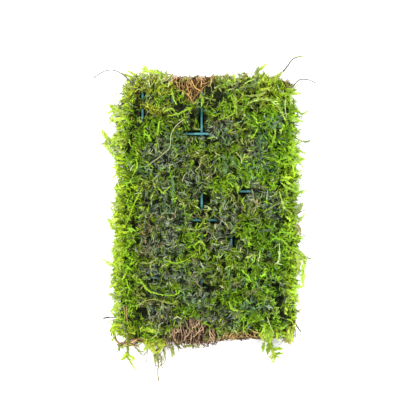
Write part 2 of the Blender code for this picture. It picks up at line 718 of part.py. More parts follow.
def make_moss(material):
    """The moss: the layer and its shoots fused, cut to fit the pad and the wires."""
    moss = moss_layer()
    combine(moss, "DIFFERENCE", as_group("notches", notch_cutters()))
    shoots = edge_shoots() + trailing_shoots() + standing_tufts()
    combine(moss, "UNION", as_group("shoots", shoots))
    rooms = [pad_room(), *loose_fibre(GAP), *wire_channels("moss_channel"), *opening_cutters()]
    combine(moss, "DIFFERENCE", as_group("rooms", rooms))
    finish_shape(moss)
    moss.data.materials.append(material)
    return moss


start_empty()
make_fibre_pad(make_material("brown plant fibre", (0.26, 0.15, 0.07), 0.9))
make_wire_mesh(make_material("teal wire coating", (0.02, 0.16, 0.24), 0.3, coat=0.5))
make_moss(make_material("green moss", (0.12, 0.22, 0.03), 0.85))
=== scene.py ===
"""A moss mat: feathery green moss grown over coated wire mesh on a pad of brown plant fibre."""

import math

import bpy
import numpy as np
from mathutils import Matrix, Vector, noise
from mathutils.bvhtree import BVHTree


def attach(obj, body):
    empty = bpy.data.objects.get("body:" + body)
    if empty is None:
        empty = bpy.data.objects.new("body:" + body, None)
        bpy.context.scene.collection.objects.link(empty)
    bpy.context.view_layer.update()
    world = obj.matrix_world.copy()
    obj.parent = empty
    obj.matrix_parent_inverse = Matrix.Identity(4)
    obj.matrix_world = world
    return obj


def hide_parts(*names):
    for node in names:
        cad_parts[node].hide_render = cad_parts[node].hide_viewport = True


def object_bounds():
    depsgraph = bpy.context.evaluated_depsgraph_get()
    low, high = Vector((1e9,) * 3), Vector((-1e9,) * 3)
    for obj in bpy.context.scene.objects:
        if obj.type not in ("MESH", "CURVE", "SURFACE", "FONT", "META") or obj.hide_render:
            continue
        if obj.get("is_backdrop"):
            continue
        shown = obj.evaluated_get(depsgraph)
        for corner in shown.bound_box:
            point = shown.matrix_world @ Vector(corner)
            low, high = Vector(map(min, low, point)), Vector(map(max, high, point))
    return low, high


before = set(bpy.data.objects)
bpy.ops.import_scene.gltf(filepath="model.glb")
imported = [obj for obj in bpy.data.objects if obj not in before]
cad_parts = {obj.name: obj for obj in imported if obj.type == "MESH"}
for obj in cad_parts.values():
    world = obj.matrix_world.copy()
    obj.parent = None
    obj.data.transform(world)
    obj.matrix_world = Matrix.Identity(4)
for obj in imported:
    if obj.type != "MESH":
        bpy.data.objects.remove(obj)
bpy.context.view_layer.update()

# ---------------------------------------------------------------------------------------
# The fibre pad: a slab of matted brown plant fibre, 6 mm thick, cut from a sheet, with
# the loose strands that its cut sides, its bare beds and its underside show. The strands
# are tangled on the beds and hang a little over the edge where the moss left them bare.
# ---------------------------------------------------------------------------------------
MM = 0.001
PAD_TOP = 6.0
PAD_OUTLINE = (
    (-34.2, -56.4), (-20, -57), (-8, -57.6), (0, -57.2), (18, -55.4), (34, -55.2), (36.2, -52.5),
    (36.2, -42), (35.2, -32), (35, 0), (34.8, 30), (34.2, 50), (31.5, 54.8), (16, 55.2), (2, 56),
    (-8, 55.6), (-17, 56.4), (-31.5, 54.8), (-34.8, 50), (-35.8, 25), (-36.4, 0), (-36.4, -30),
    (-35.6, -51.6),
)
# Bare beds of fibre: the outline, the way the strands run, how far they tangle from it, how
# high they stand over the pad, how many grow to a square millimetre, their colour, and how
# readily they darken.
GOLDEN_FIBRE = (0.600, 0.350, 0.120)
DARK_FIBRE = (0.022, 0.010, 0.005)
FIBRE_BEDS = {
    "top_bed": (((-16.6, 57.5), (-15.4, 53), (-12.0, 49.4), (-9.2, 45.6), (-5.4, 46.2), (-3.6, 48.8),
                 (-1.8, 52.4), (0.6, 54.0), (1.6, 57.5)), (0, 1), 0.60, 3.6, 2.1, GOLDEN_FIBRE, 1.0),
    "bottom_bed": (((-20, -59), (-18.6, -53.6), (-16, -50.8), (-11.6, -49.8), (-10, -47.2),
                    (-6.4, -46.2), (-3.6, -48.6), (0.6, -50.4), (3.4, -53), (5, -59)),
                   (0.12, -1), 0.34, 4.0, 1.7, (0.60, 0.40, 0.235), 1.0),
    "bottom_strip": (((4, -58), (4.6, -53.6), (12, -52.4), (22.6, -52.0), (30, -51.2), (30.5, -57)),
                     (0, -1), 0.6, 3.4, 3.0, (0.66, 0.44, 0.16), 0.9),
    "top_right_bed": (((29.4, 57.0), (29.8, 53.6), (31.4, 52.2), (35.2, 51.6), (35.4, 54)),
                      (0.1, 1), 0.5, 3.0, 1.6, (0.70, 0.50, 0.15), 0.5),
    "lower_left_bed": (((-37.6, -58), (-36.6, -55.6), (-28.2, -55.2), (-27.4, -57.6), (-33, -59)),
                       (1, -0.2), 0.4, 3.2, 2.2, (0.70, 0.45, 0.15), 0.5),
    "lower_right_bed": (((28.6, -56.0), (29.2, -53.6), (34.6, -52.4), (34.6, -47.4), (36.2, -47),
                         (36, -55)), (0.4, -0.9), 0.6, 2.8, 1.7, (0.84, 0.62, 0.25), 0.35),
}
# Where the strands of the beds stop: at the lower side, as distances across and how far down
# at each, at the upper side, and at the left and right. They droop where they run past it.
LOWER_STOPS = ((-38, -18, 0, 4, 36), (58.4, 60.2, 59.2, 55.0, 54.4))
UPPER_STOP = 56.3
SIDE_STOPS = (-38.5, 36.4)
BED_STRAND_LENGTHS = (2.2, 7.4)
# How far a strand on the cut sides strays past them, and where those of the underside end.
STRAY = 1.5
UNDERSIDE = ((-35.2, 34.2), (-55.4, 54.6))
# The slab's rings from foot to top: height, and how far in from the outline.
SLAB_RINGS = ((0.3, 1.0), (0.7, 0.5), (1.6, 0.45), (2.9, 0.35), (4.2, 0.45), (5.2, 0.6), (5.7, 1.3))


def smooth_line(corners, pieces, closed=False):
    """A smooth line through the corners, with so many pieces between each two."""
    corners = np.array(corners, float)
    first, last = (corners[-1:], corners[:2]) if closed else (corners[:1], corners[-1:])
    padded = np.concatenate([first, corners, last])
    before, here, after, beyond = padded[:-3], padded[1:-2], padded[2:-1], padded[3:]
    line = []
    for t in np.arange(pieces) / pieces:
        bend = (before * -1 + here * 3 - after * 3 + beyond) * t ** 3
        bend += (before * 2 - here * 5 + after * 4 - beyond) * t ** 2
        line.append(here + ((after - before) * t + bend) * 0.5)
    line = np.stack(line, 1).reshape(-1, corners.shape[1])
    return line if closed else np.concatenate([line, beyond[-1:]])


def unit(vectors):
    """The vectors at length one."""
    return vectors / np.maximum(np.linalg.norm(vectors, axis=-1, keepdims=True), 1e-9)


def field(x, y, size, layer):
    """Smooth noise from -1 to 1 at each place, with lumps of about the given size."""
    places = zip(np.ravel(x) / size, np.ravel(y) / size)
    return np.array([noise.noise((a, b, layer)) for a, b in places]).reshape(np.shape(x))


def inside(outline, x, y):
    """Whether each place lies within the outline."""
    within = np.zeros(np.shape(x), bool)
    for (x1, y1), (x2, y2) in zip(outline, outline[1:] + outline[:1]):
        crossing = ((y1 > y) != (y2 > y)) & (x < (x2 - x1) * (y - y1) / (y2 - y1 + 1e-9) + x1)
        within ^= crossing
    return within


def placed(name, mesh, material):
    """Puts a mesh of the one material in the scene."""
    mesh.materials.append(material)
    piece = bpy.data.objects.new(name, mesh)
    bpy.context.scene.collection.objects.link(piece)
    return piece


def closed_piece(name, points, faces, material):
    """Makes a piece from points in millimetres and faces with any number of corners."""
    mesh = bpy.data.meshes.new(name)
    mesh.from_pydata((np.array(points) * MM).tolist(), [], faces)
    return placed(name, mesh, material)


def add_piece(name, points, faces, material, colours=None, places=None):
    """Makes a piece from arrays of points in millimetres, faces, colours and map places."""
    mesh = bpy.data.meshes.new(name)
    faces = np.asarray(faces, np.int32)
    mesh.vertices.add(len(points))
    mesh.vertices.foreach_set("co", (np.asarray(points, np.float32) * MM).ravel())
    mesh.loops.add(faces.size)
    mesh.loops.foreach_set("vertex_index", faces.ravel())
    mesh.polygons.add(len(faces))
    mesh.polygons.foreach_set("loop_start", np.arange(0, faces.size, faces.shape[1], np.int32))
    mesh.update(calc_edges=True)
    if colours is not None:
        tint = mesh.attributes.new("tint", "FLOAT_COLOR", "POINT")
        shades = np.concatenate([np.clip(colours, 0, 0.95), np.ones((len(colours), 1))], 1)
        tint.data.foreach_set("color", shades.astype(np.float32).ravel())
    if places is not None:
        cells = mesh.uv_layers.new(name="OFBake")
        cells.data.foreach_set("uv", places[faces.ravel()].astype(np.float32).ravel())
    return placed(name, mesh, material)


def line_frames(lines):
    """Directions along, across and over each of many lines, given as (line, point, xyz)."""
    along = unit(np.gradient(lines, axis=1))
    up = np.zeros_like(along)
    up[..., 2] = 1.0
    steep = np.abs(along[..., 2:3]) > 0.95
    up = np.where(steep, np.array([1.0, 0.0, 0.0]), up)
    across = unit(np.cross(along, up))
    return along, across, np.cross(across, along)


def tube_sides(rings, sides):
    """The corners of the four-sided faces of a tube, by ring and side."""
    low = np.arange(rings - 1)[:, None] * sides + np.arange(sides)
    after = np.roll(low, -1, 1)
    return np.stack([low, after, after + sides, low + sides], -1)


def strands(lines, root_radius, tip_radius, sides):
    """A round strand on each line: points by line, faces, and the map places of one strand.

    The radii are one number for each line. A map place is (share along, share round).
    """
    count, rings, _ = lines.shape
    _, across, over = line_frames(lines)
    share = np.linspace(0.0, 1.0, rings)
    radius = root_radius[:, None] + (tip_radius - root_radius)[:, None] * share
    turn = 2 * math.pi * np.arange(sides) / sides
    ring = across[:, :, None] * np.cos(turn)[:, None] + over[:, :, None] * np.sin(turn)[:, None]
    points = lines[:, :, None] + ring * radius[:, :, None, None]
    quads = tube_sides(rings, sides) + (np.arange(count) * rings * sides)[:, None, None, None]
    faces = np.concatenate([quads[..., half].reshape(-1, 3) for half in ([0, 1, 2], [0, 2, 3])])
    places = np.stack(np.meshgrid(share, np.arange(sides) / sides, indexing="ij"), -1)
    return points.reshape(count, -1, 3), faces, places.reshape(-1, 2)


def joined(name, parts, material, lowest, margin):
    """One piece of many lines, from parts that are (points, faces, tints, map places) by line.

    Each line has a cell of its own in the map, with a margin that is a share of the cell's
    side, and no point lies lower than the lowest.
    """
    numbers = np.arange(sum(len(part[0]) for part in parts))
    side = math.ceil(math.sqrt(len(numbers)))
    cells = np.stack([numbers % side, numbers // side], 1)
    points, faces, tints, places = [], [], [], []
    done, start = 0, 0
    for shape, skin, tint, spots in parts:
        count, each, _ = shape.shape
        points.append(shape.reshape(-1, 3))
        faces.append(skin + start)
        tints.append(tint.reshape(-1, 3))
        spots = margin + (1 - 2 * margin) * spots + cells[done:done + count, None]
        places.append(spots.reshape(-1, 2) / side)
        done, start = done + count, start + count * each
    points = np.concatenate(points)
    points[:, 2] = np.maximum(points[:, 2], lowest)
    return add_piece(name, points, np.concatenate(faces), material, np.concatenate(tints),
                     np.concatenate(places))


def wander(rng, roots, headings, lengths, steps, bend, wave, sag=0.0, curl=0.0):
    """A bent and wavy line from each root, as (line, point, xyz), in millimetres.

    The bend, the wave, the sag and the curl are shares of the line's length.
    """
    count = len(roots)
    t = np.linspace(0.0, 1.0, steps)[None, :, None]
    headings = unit(headings)
    flat = unit(np.cross(headings, np.array([0.0, 0.0, 1.0]) + 1e-6))
    lift = np.cross(flat, headings)
    turn = rng.normal(0.0, bend, (count, 1, 1)) + curl
    rise = rng.normal(0.0, bend * 0.35, (count, 1, 1)) - sag
    phase = rng.uniform(0, 2 * math.pi, (count, 1, 1))
    waves = rng.uniform(0.8, 2.0, (count, 1, 1)) * 2 * math.pi
    ripple = wave * (np.sin(waves * t + phase) - np.sin(phase)) * t ** 0.5
    reach = lengths[:, None, None]
    side = flat[:, None] * (turn * t * t + ripple)
    over = lift[:, None] * (rise * t * t)
    return roots[:, None] + reach * (headings[:, None] * t + side + over)


def pad_sides():
    """Points round the pad's edge, and the ways along it and out of it at each."""
    outline = smooth_line(PAD_OUTLINE, 8, closed=True)
    along = unit(np.roll(outline, -1, 0) - np.roll(outline, 1, 0))
    return outline, along, np.stack([along[:, 1], -along[:, 0]], 1)


def fibre_slab():
    """The slab: the outline in rings from its foot to its top, roughened, with both ends shut."""
    outline, _, out = pad_sides()
    count = len(outline)
    points = []
    for z, inset in SLAB_RINGS:
        rough = field(outline[:, 0] + z * 9, outline[:, 1], 2.2, 7.0) * 0.35
        points.append(np.column_stack([outline + out * (rough - inset)[:, None], np.full(count, z)]))
    numbers = list(range(count * len(SLAB_RINGS)))
    faces = tube_sides(len(SLAB_RINGS), count).reshape(-1, 4).tolist()
    # The slab is near black: painted shade deep among the loose strands, over the brown fibre.
    material = mottled("matted plant fibre in painted shade", size=2.2, dark=(0.30, (0.005, 0.003, 0.002)),
                       light=(0.72, (0.060, 0.030, 0.012)), roughness=0.92, specular=0.1,
                       relief=0.4, stretch=(2.0, 0.6, 2.0))
    return closed_piece("fibre_slab", np.concatenate(points),
                        faces + [numbers[:count][::-1], numbers[-count:]], material)


def plain_material(name, roughness, specular):
    """A new material, with its nodes, its links and its shader."""
    material = bpy.data.materials.new(name)
    material.use_nodes = True
    shader = material.node_tree.nodes["Principled BSDF"]
    shader.inputs["Roughness"].default_value = roughness
    shader.inputs["Specular IOR Level"].default_value = specular
    return material, material.node_tree.nodes, material.node_tree.links, shader


def lumps_over(nodes, links, scale, detail, place=None):
    """Noise over a piece, from its own coordinates or from those given."""
    lumps = nodes.new("ShaderNodeTexNoise")
    lumps.inputs["Scale"].default_value = scale
    lumps.inputs["Detail"].default_value = detail
    place = place or nodes.new("ShaderNodeTexCoord").outputs["Object"]
    links.new(place, lumps.inputs["Vector"])
    return lumps.outputs["Fac"]


def mottled(name, size, dark, light, roughness, specular, relief=0.0, stretch=(1.0, 1.0, 1.0)):
    """A material mottled between two (share, colour) stops by noise with lumps of a size in mm."""
    material, nodes, links, shader = plain_material(name, roughness, specular)
    drawn = nodes.new("ShaderNodeMapping")
    drawn.inputs["Scale"].default_value = [part / (size * MM) for part in stretch]
    links.new(nodes.new("ShaderNodeTexCoord").outputs["Object"], drawn.inputs["Vector"])
    lumps = lumps_over(nodes, links, 1.0, 5.0, drawn.outputs["Vector"])
    shades = nodes.new("ShaderNodeValToRGB")
    for stop, (share, colour) in zip(shades.color_ramp.elements, (dark, light)):
        stop.position, stop.color = share, (*colour, 1)
    links.new(lumps, shades.inputs["Fac"])
    links.new(shades.outputs["Color"], shader.inputs["Base Color"])
    if relief:
        raised = nodes.new("ShaderNodeBump")
        raised.inputs["Distance"].default_value = relief * MM
        links.new(lumps, raised.inputs["Height"])
        links.new(raised.outputs["Normal"], shader.inputs["Normal"])
    return material


def tinted(name, roughness, specular, speck_size, speck_depth):
    """A material that takes its colour from the piece's own tints, mottled by fine specks."""
    material, nodes, links, shader = plain_material(name, roughness, specular)
    tint = nodes.new("ShaderNodeAttribute")
    tint.attribute_name = "tint"
    spread = nodes.new("ShaderNodeMapRange")
    spread.inputs["From Min"].default_value = 0.25
    spread.inputs["From Max"].default_value = 0.75
    spread.inputs["To Min"].default_value = 1.0 - speck_depth
    spread.inputs["To Max"].default_value = 1.0 + speck_depth
    mottle = nodes.new("ShaderNodeVectorMath")
    mottle.operation = "SCALE"
    specks = lumps_over(nodes, links, 1.0 / (speck_size * MM), 3.0)
    links.new(specks, spread.inputs["Value"])
    links.new(tint.outputs["Color"], mottle.inputs[0])
    links.new(spread.outputs["Result"], mottle.inputs["Scale"])
    links.new(mottle.outputs["Vector"], shader.inputs["Base Color"])
    return material


def shade(colours, rng, spread):
    """The colours, each a little lighter or darker than given."""
    change = np.minimum(rng.normal(0.0, spread, (len(colours), 1)), spread)
    return np.asarray(colours) * np.exp(change)


def fibre_tints(colour, count, dark, rng, depth_shade=0.0):
    """Strand colours from the given one down to dark brown, darker at random as asked and by painted
    shade.
    """
    mix = np.clip(rng.uniform(0, 1, (count, 1)) ** (1 / dark) + np.reshape(depth_shade, (-1, 1)), 0, 1)
    return shade(np.array(colour) * (1 - mix) + np.array(DARK_FIBRE) * mix, rng, 0.5) * 0.88


def facing(turn, rise):
    """Headings that point the way of each turn and rise so much."""
    return np.column_stack([np.cos(turn), np.sin(turn), np.broadcast_to(rise, turn.shape)])


def bed_strands(name, rng):
    """Wavy strands over one bare bed, tangled, and hanging over where they pass the pad's edge."""
    outline, run, tangle, height, density, *_ = FIBRE_BEDS[name]
    low, high = np.min(outline, 0), np.max(outline, 0)
    spots = rng.uniform(low, high, (int(np.prod(high - low) * density), 2))
    spots = spots[inside(outline, *spots.T)]
    count = len(spots)
    turn = math.atan2(run[1], run[0]) + rng.normal(0, tangle, count)
    turn += np.where(rng.uniform(0, 1, count) < 0.12, rng.normal(0, 1.2, count), 0)
    headings = facing(turn, rng.normal(0.02, 0.16, count))
    lengths = rng.uniform(*BED_STRAND_LENGTHS, count) * min(1.0, np.ptp(outline, 0).min() / 8.0)
    roots = np.column_stack([spots, PAD_TOP - 0.5 + rng.uniform(0, 1, count) ** 1.2 * height])
    roots[:, :2] -= headings[:, :2] * (lengths * 0.5)[:, None]
    lines = wander(rng, roots, headings, lengths, steps=8, bend=0.20, wave=0.05, sag=0.05)
    stop = np.where(lines[..., 1] < 0, np.interp(lines[..., 0], *LOWER_STOPS), UPPER_STOP)
    past = np.clip(np.abs(lines[..., 1]) - stop, 0, None)
    lines[..., 1] -= np.sign(lines[..., 1]) * past * 0.6
    lines[..., 0] = np.clip(lines[..., 0], *SIDE_STOPS)
    lines[..., 2] -= past * rng.uniform(0.3, 1.4, (count, 1))
    lines[..., 2] = np.maximum(lines[..., 2], 0.3)
    return lines


def side_strands(rng, count):
    """Strands lying along the pad's cut sides, some standing a little out of them."""
    outline, run, way_out = pad_sides()
    pick = rng.integers(0, len(outline), count)
    along, out = (np.column_stack([way[pick], np.zeros(count)]) for way in (run, way_out))
    roots = np.column_stack([outline[pick], rng.uniform(0.3, 5.6, count)])
    roots -= out * rng.uniform(0.1, 0.9, (count, 1))
    side = rng.choice([-1.0, 1.0], (count, 1))
    headings = along * side + out * rng.normal(0.03, 0.12, (count, 1))
    headings[:, 2] = rng.normal(0, 0.22, count)
    lengths = rng.uniform(4, 10, count)
    lines = wander(rng, roots, headings, lengths, steps=6, bend=0.10, wave=0.03)
    lines[..., 2] = np.clip(lines[..., 2], 0.25, 5.9)
    past = np.maximum(outline.min(0) - lines[..., :2], lines[..., :2] - outline.max(0))
    return lines[past.max((1, 2)) < STRAY]


def under_strands(rng, count):
    """Strands pressed flat into the underside."""
    roots = np.column_stack([rng.uniform(-33, 33, count), rng.uniform(-53, 53, count),
                             rng.uniform(0.12, 0.4, count)])
    headings = facing(rng.uniform(0, 2 * math.pi, count), 0.0)
    lengths = rng.uniform(6, 14, count)
    lines = wander(rng, roots, headings, lengths, steps=5, bend=0.3, wave=0.05)
    lines[..., 2] = roots[:, None, 2]
    for k, ends in enumerate(UNDERSIDE):
        lines[..., k] = np.clip(lines[..., k], *ends)
    return lines


def strand_piece(name, groups, material):
    """Joins groups of strands, each (lines, colours, root and tip radius, sides), in one piece."""
    parts = []
    for lines, colours, root_radius, tip_radius, sides in groups:
        radii = (np.broadcast_to(radius, len(lines)) for radius in (root_radius, tip_radius))
        shape, skin, spots = strands(lines, *radii, sides)
        parts.append((shape, skin, colours[:, None] * (0.6 + 0.4 * spots[:, :1] ** 0.5), spots))
    return joined(name, parts, material, lowest=0.02, margin=0.08)


rng = np.random.default_rng(5)
fibre = tinted("brown plant fibre", roughness=0.7, specular=0.15, speck_size=0.9, speck_depth=0.35)
groups = []
for bed, (*_, colour, dark) in FIBRE_BEDS.items():
    lines = bed_strands(bed, rng)
    count = len(lines)
    # Painted shade: strands lower in a bed are darker, under those above them.
    depth_shade = 1.05 - 1.6 * (lines[:, 3, 2] - PAD_TOP) / FIBRE_BEDS[bed][3]
    groups.append((lines, fibre_tints(colour, count, dark, rng, depth_shade),
                   rng.uniform(0.12, 0.22, count), rng.uniform(0.07, 0.13, count), 3))
for lines, colour, dark in ((side_strands(rng, 1400), (0.50, 0.29, 0.10), 1.2),
                            (under_strands(rng, 1500), GOLDEN_FIBRE, 0.7)):
    count = len(lines)
    groups.append((lines, fibre_tints(colour, count, dark, rng),
                   rng.uniform(0.1, 0.2, count), rng.uniform(0.05, 0.1, count), 3))
for piece in (fibre_slab(), strand_piece("fibre_strands", groups, fibre)):
    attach(piece, "root")
    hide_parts("fibre_pad")

# ---------------------------------------------------------------------------------------
# The wire mesh: straight steel wires with a glossy dark teal plastic coat, welded where
# they cross and laid on the pad. The moss has grown over all but short stretches of it.
# ---------------------------------------------------------------------------------------
WIRE_RADIUS = 0.525
WIRE_SIDES = 12
LONG_WIRES_X = [-29.0 + 12.7 * k for k in range(6)]
LONG_WIRE_Z = 6.875
LONG_WIRE_ENDS = (-44.6, 50.5)
CROSS_WIRES_Y = [-41.9 + 12.37 * k for k in range(8)]
CROSS_WIRE_Z = 7.625
CROSS_WIRE_ENDS = (-34.3, 34.3)


def wire_points(start, end, crossings):
    """Places along a wire, close together by the welds, and how thick it is at each."""
    run = [start, start + 0.12, start + 0.4]
    for spot in crossings:
        run += [spot - 1.1, spot - 0.6, spot - 0.3, spot + 0.3, spot + 0.6, spot + 1.1]
    run = np.array(sorted(run + [end - 0.4, end - 0.12, end]))
    near = np.min(np.abs(run[:, None] - np.array(crossings)[None]), 1)
    thick = 1 + 0.13 * np.clip(1 - near / 0.9, 0, 1)
    thick[[0, -1]] = 0.45
    thick[[1, -2]] = 0.86
    return run, thick


coating = mottled("teal wire coating", size=2.4, dark=(0.35, (0.040, 0.200, 0.220)),
                  light=(0.68, (0.140, 0.440, 0.460)), roughness=0.3, specular=0.6)
gloss = coating.node_tree.nodes["Principled BSDF"].inputs
gloss["Coat Weight"].default_value = 0.4
gloss["Coat Roughness"].default_value = 0.18
points, faces, first = [], [], 0
turn = 2 * math.pi * np.arange(WIRE_SIDES) / WIRE_SIDES
for lengthwise, stops, crossings, ends, z in (
        (True, LONG_WIRES_X, CROSS_WIRES_Y, LONG_WIRE_ENDS, LONG_WIRE_Z),
        (False, CROSS_WIRES_Y, LONG_WIRES_X, CROSS_WIRE_ENDS, CROSS_WIRE_Z)):
    run, thick = wire_points(*ends, crossings)
    radius = WIRE_RADIUS * thick[:, None]
    for spot in stops:
        side = spot + np.cos(turn) * radius
        level = z + np.sin(turn) * radius
        far = np.broadcast_to(run[:, None], side.shape)
        points.append(np.stack([side, far, level] if lengthwise else [far, side, level], -1))
        numbers = list(range(first, first + side.size))
        caps = [numbers[:WIRE_SIDES], numbers[-WIRE_SIDES:][::-1]]
        skin = first + tube_sides(len(run), WIRE_SIDES).reshape(-1, 4)
        faces += (skin[:, ::-1] if lengthwise else skin).tolist()
        faces += caps if lengthwise else [cap[::-1] for cap in caps]
        first += side.size
points = np.concatenate([wire.reshape(-1, 3) for wire in points])
wires = closed_piece("coated_wires", points, faces, coating)
wires.data.shade_smooth()
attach(wires, "root")
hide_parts("wire_mesh")

# ---------------------------------------------------------------------------------------
# The felt: the packed older growth under the living tips, coloured near black as painted
# shade deep in the moss, and pierced down to the pad where the wires show. It follows the
# moss solid a little below its surface.
# ---------------------------------------------------------------------------------------
PHOTO_PIXEL = 0.4295
PHOTO_MIDDLE = (209.5, 208.5)
# The mat's outline in the photograph's pixels, without the fronds that reach past it.
BODY_OUTLINE = (
    (126, 80), (125, 75), (127, 70), (134, 70), (140, 73), (144, 76), (153, 77), (156, 74), (163, 77),
    (171, 77), (172, 75), (185, 75), (189, 78), (196, 77), (203, 80), (209, 79), (216, 76), (226, 77),
    (231, 74), (234, 73), (237, 75), (244, 75), (252, 73), (256, 69), (260, 67), (263, 72), (268, 74),
    (279, 73), (284, 77), (292, 82), (294, 92), (292, 100), (292, 106), (296, 110), (299, 118),
    (298, 126), (298, 134), (300, 138), (302, 150), (305, 155), (305, 159), (302, 163), (301, 174),
    (299, 192), (294, 197), (294, 205), (297, 214), (299, 218), (301, 226), (301, 235), (299, 245),
    (301, 256), (301, 268), (296, 276), (295, 283), (298, 286), (296, 290), (296, 300), (295, 305),
    (294, 319), (290, 328), (288, 335), (282, 337), (273, 337), (268, 345), (262, 340), (250, 337),
    (228, 337), (214, 341), (203, 346), (188, 347), (181, 339), (173, 347), (163, 345), (161, 352),
    (152, 351), (142, 348), (131, 343), (127, 346), (118, 343), (112, 338), (109, 331), (115, 322),
    (115, 316), (113, 308), (117, 303), (117, 299), (112, 295), (114, 291), (110, 288), (111, 280),
    (110, 268), (111, 263), (116, 259), (115, 252), (112, 248), (113, 243), (117, 240), (115, 236),
    (117, 229), (111, 225), (112, 218), (118, 213), (112, 209), (113, 204), (118, 200), (117, 180),
    (115, 173), (116, 160), (111, 153), (107, 148), (104, 140), (104, 135), (110, 138), (120, 135),
    (119, 121), (116, 119), (119, 111), (114, 107), (121, 105), (124, 101), (123, 92), (126, 86),
)
OUTLINE_SLACK = (0.958, 0.968)
# Gaps in it where the ground shows: middle x and y, half width and half height.
GROUND_GAPS = (
    (109.2, 145.5, 1.4, 3.2), (116, 153.5, 2.2, 2.6), (109, 137, 1.2, 1.0), (115, 143, 1.8, 1.2),
    (122, 336.5, 4.8, 4.6), (116.5, 297, 1.4, 2.4), (301, 265, 1.6, 2.8), (175.5, 339.5, 2.6, 1.4),
    (133, 347, 4.0, 2.2), (116, 114, 2.4, 2.6),
)
LEFT_EDGE = (
    (-58, -36.5), (-51, -40.2), (-36, -40.4), (-24, -40.2), (-12, -39.8), (2, -39.6), (12, -38.9),
    (24, -39.4), (30, -40.0), (40, -38.8), (48, -37.0), (57, -34.6),
)
RIGHT_EDGE = (
    (-58, 33.0), (-51, 36.4), (-30, 36.4), (-12, 36.6), (12, 36.0), (24, 36.0), (40, 35.8), (50, 35.2),
    (57, 33.0),
)
BOTTOM_EDGE = (
    (-39, -55.0), (-33, -58.4), (-18, -58.4), (0, -56.6), (5, -54.8), (33, -54.4), (37, -53.0),
)
TOP_EDGE = (
    (-38, 54.4), (-31, 57.6), (-18, 57.2), (0, 56.0), (17, 56.2), (22, 57.2), (30, 55.4), (36, 52.8),
)
# Openings down to the wires: middle x and y, half width, half length.
OPENINGS = (
    (-29.0, 48.4, 1.1, 1.5), (-28.8, 41.2, 1.2, 3.0), (-16.2, 47.2, 0.7, 1.8), (-3.6, 38.4, 1.2, 4.6),
    (-6.6, 32.4, 5.4, 1.1), (-1.2, 31.5, 1.4, 0.9), (-3.2, 33.2, 1.3, 1.6), (-3.2, 3.2, 1.3, 3.8),
    (-1.2, 4.6, 1.6, 2.0), (15.2, 7.4, 3.2, 1.0), (-6.4, -4.9, 2.4, 0.8), (0.8, -5.1, 1.6, 0.7),
    (9.8, -14.0, 1.5, 2.7), (-3.5, -31.6, 0.8, 1.5), (-24.2, -29.9, 2.0, 0.7), (-3.4, -11.6, 0.7, 1.3),
)
# Hollows between the cushions, where no wire shows, dark with the felt's painted shade.
HOLLOWS = (
    (-31.4, 45.2, 1.4, 0.6), (-31.6, 43.1, 1.5, 0.5), (-32.9, 39.6, 0.9, 0.8), (-33.3, 34.8, 0.9, 1.3),
    (-34.6, 25.2, 1.1, 1.4), (-13.5, 43.2, 2.0, 1.3), (2.9, 49.4, 1.3, 1.8), (4.5, 47.5, 1.3, 1.4),
    (1.7, 44.6, 0.7, 1.9), (-0.6, 50.7, 1.0, 1.5), (-20.2, 32.4, 1.1, 1.3), (-5.6, 18.9, 1.1, 1.4),
    (-6.7, 10.9, 0.9, 2.0), (11.2, 4.5, 1.0, 0.9), (30.8, 10.7, 1.3, 1.2), (32.0, -4.3, 1.2, 1.5),
    (13.7, -8.4, 0.8, 1.0), (29.8, -38.9, 1.2, 2.4), (28.4, -32.4, 2.4, 0.9), (31.0, -44.9, 0.9, 2.2),
    (-30.7, -44.0, 0.9, 2.7), (-27.8, -44.0, 1.3, 2.1), (-0.2, -33.6, 1.7, 1.9),
    (-32.6, -6.8, 1.1, 1.1), (12.2, 49.6, 1.0, 0.9), (28.4, 31.6, 1.0, 0.9), (17.8, 42.3, 1.1, 0.8),
    (-0.2, -1.9, 0.8, 1.0), (-27.3, 1.1, 0.9, 0.7), (22.0, -31.5, 1.3, 0.8), (-7.5, -6.7, 0.8, 0.8),
    (28.1, -10.1, 0.8, 0.7), (-28.1, -37.6, 0.8, 0.7), (-7.2, 40.0, 1.1, 1.1), (-31.8, 40.9, 1.1, 0.9),
    (10.5, -48.7, 0.8, 0.7), (-25.1, -14.8, 0.8, 0.7), (28.0, -41.4, 0.9, 0.8), (17.8, -51.0, 1.0, 0.5),
    (17.6, -26.0, 0.9, 0.8), (14.9, -28.4, 0.7, 0.7), (26.2, -45.6, 0.9, 0.8),
)
# How high the felt is in the openings, in the hollows and under the bare beds, how high it is
# at most, how far it lies under the moss's top, and the height taken where there is no moss.
WIRE_FLOOR = 6.15
HOLLOW_FLOOR = 8.35
BARE_FELT = 5.3
FELT_TOP = 11.0
FELT_DEPTH = 2.6
USUAL_STAND = 9.6
# Half the felt's width and length, its steps each way, and how high its foot is, elsewhere and
# by the bare beds.
FELT_HALF = (37.5, 57)
FELT_STEPS = (110, 160)
FELT_FOOT, BARE_FOOT = 1.6, 4.4
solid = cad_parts["moss"]
moss_form = BVHTree.FromObject(solid, bpy.context.evaluated_depsgraph_get())


def moss_height(x, y):
    """How high the moss solid stands over each place, in millimetres, or -1 where it is bare."""
    heights = []
    for a, b in zip(np.ravel(x), np.ravel(y)):
        hit = moss_form.ray_cast(Vector((a * MM, b * MM, 0.05)), Vector((0, 0, -1)))[0]
        heights.append(-1.0 if hit is None else hit.z / MM)
    return np.array(heights).reshape(np.shape(x))


def within_any(spots, x, y, margin):
    """Whether each place is in one of the ovals (middle x and y, half width, half length)."""
    found = np.zeros(np.shape(x), bool)
    ragged = 1.0 + 1.1 * field(x, y, 1.1, 11.0)
    for a, b, half_width, half_length in spots:
        off = ((x - a) / (half_width + margin)) ** 2 + ((y - b) / (half_length + margin)) ** 2
        found |= off < ragged
    return found


def on_bed(x, y):
    """Whether each place is on a bare bed of fibre."""
    return np.any([inside(bed[0], x, y) for bed in FIBRE_BEDS.values()], 0)


def from_photo(places):
    """Places on the photograph as millimetres on the mat."""
    return (np.array(places, float) - PHOTO_MIDDLE) * PHOTO_PIXEL * [1, -1]


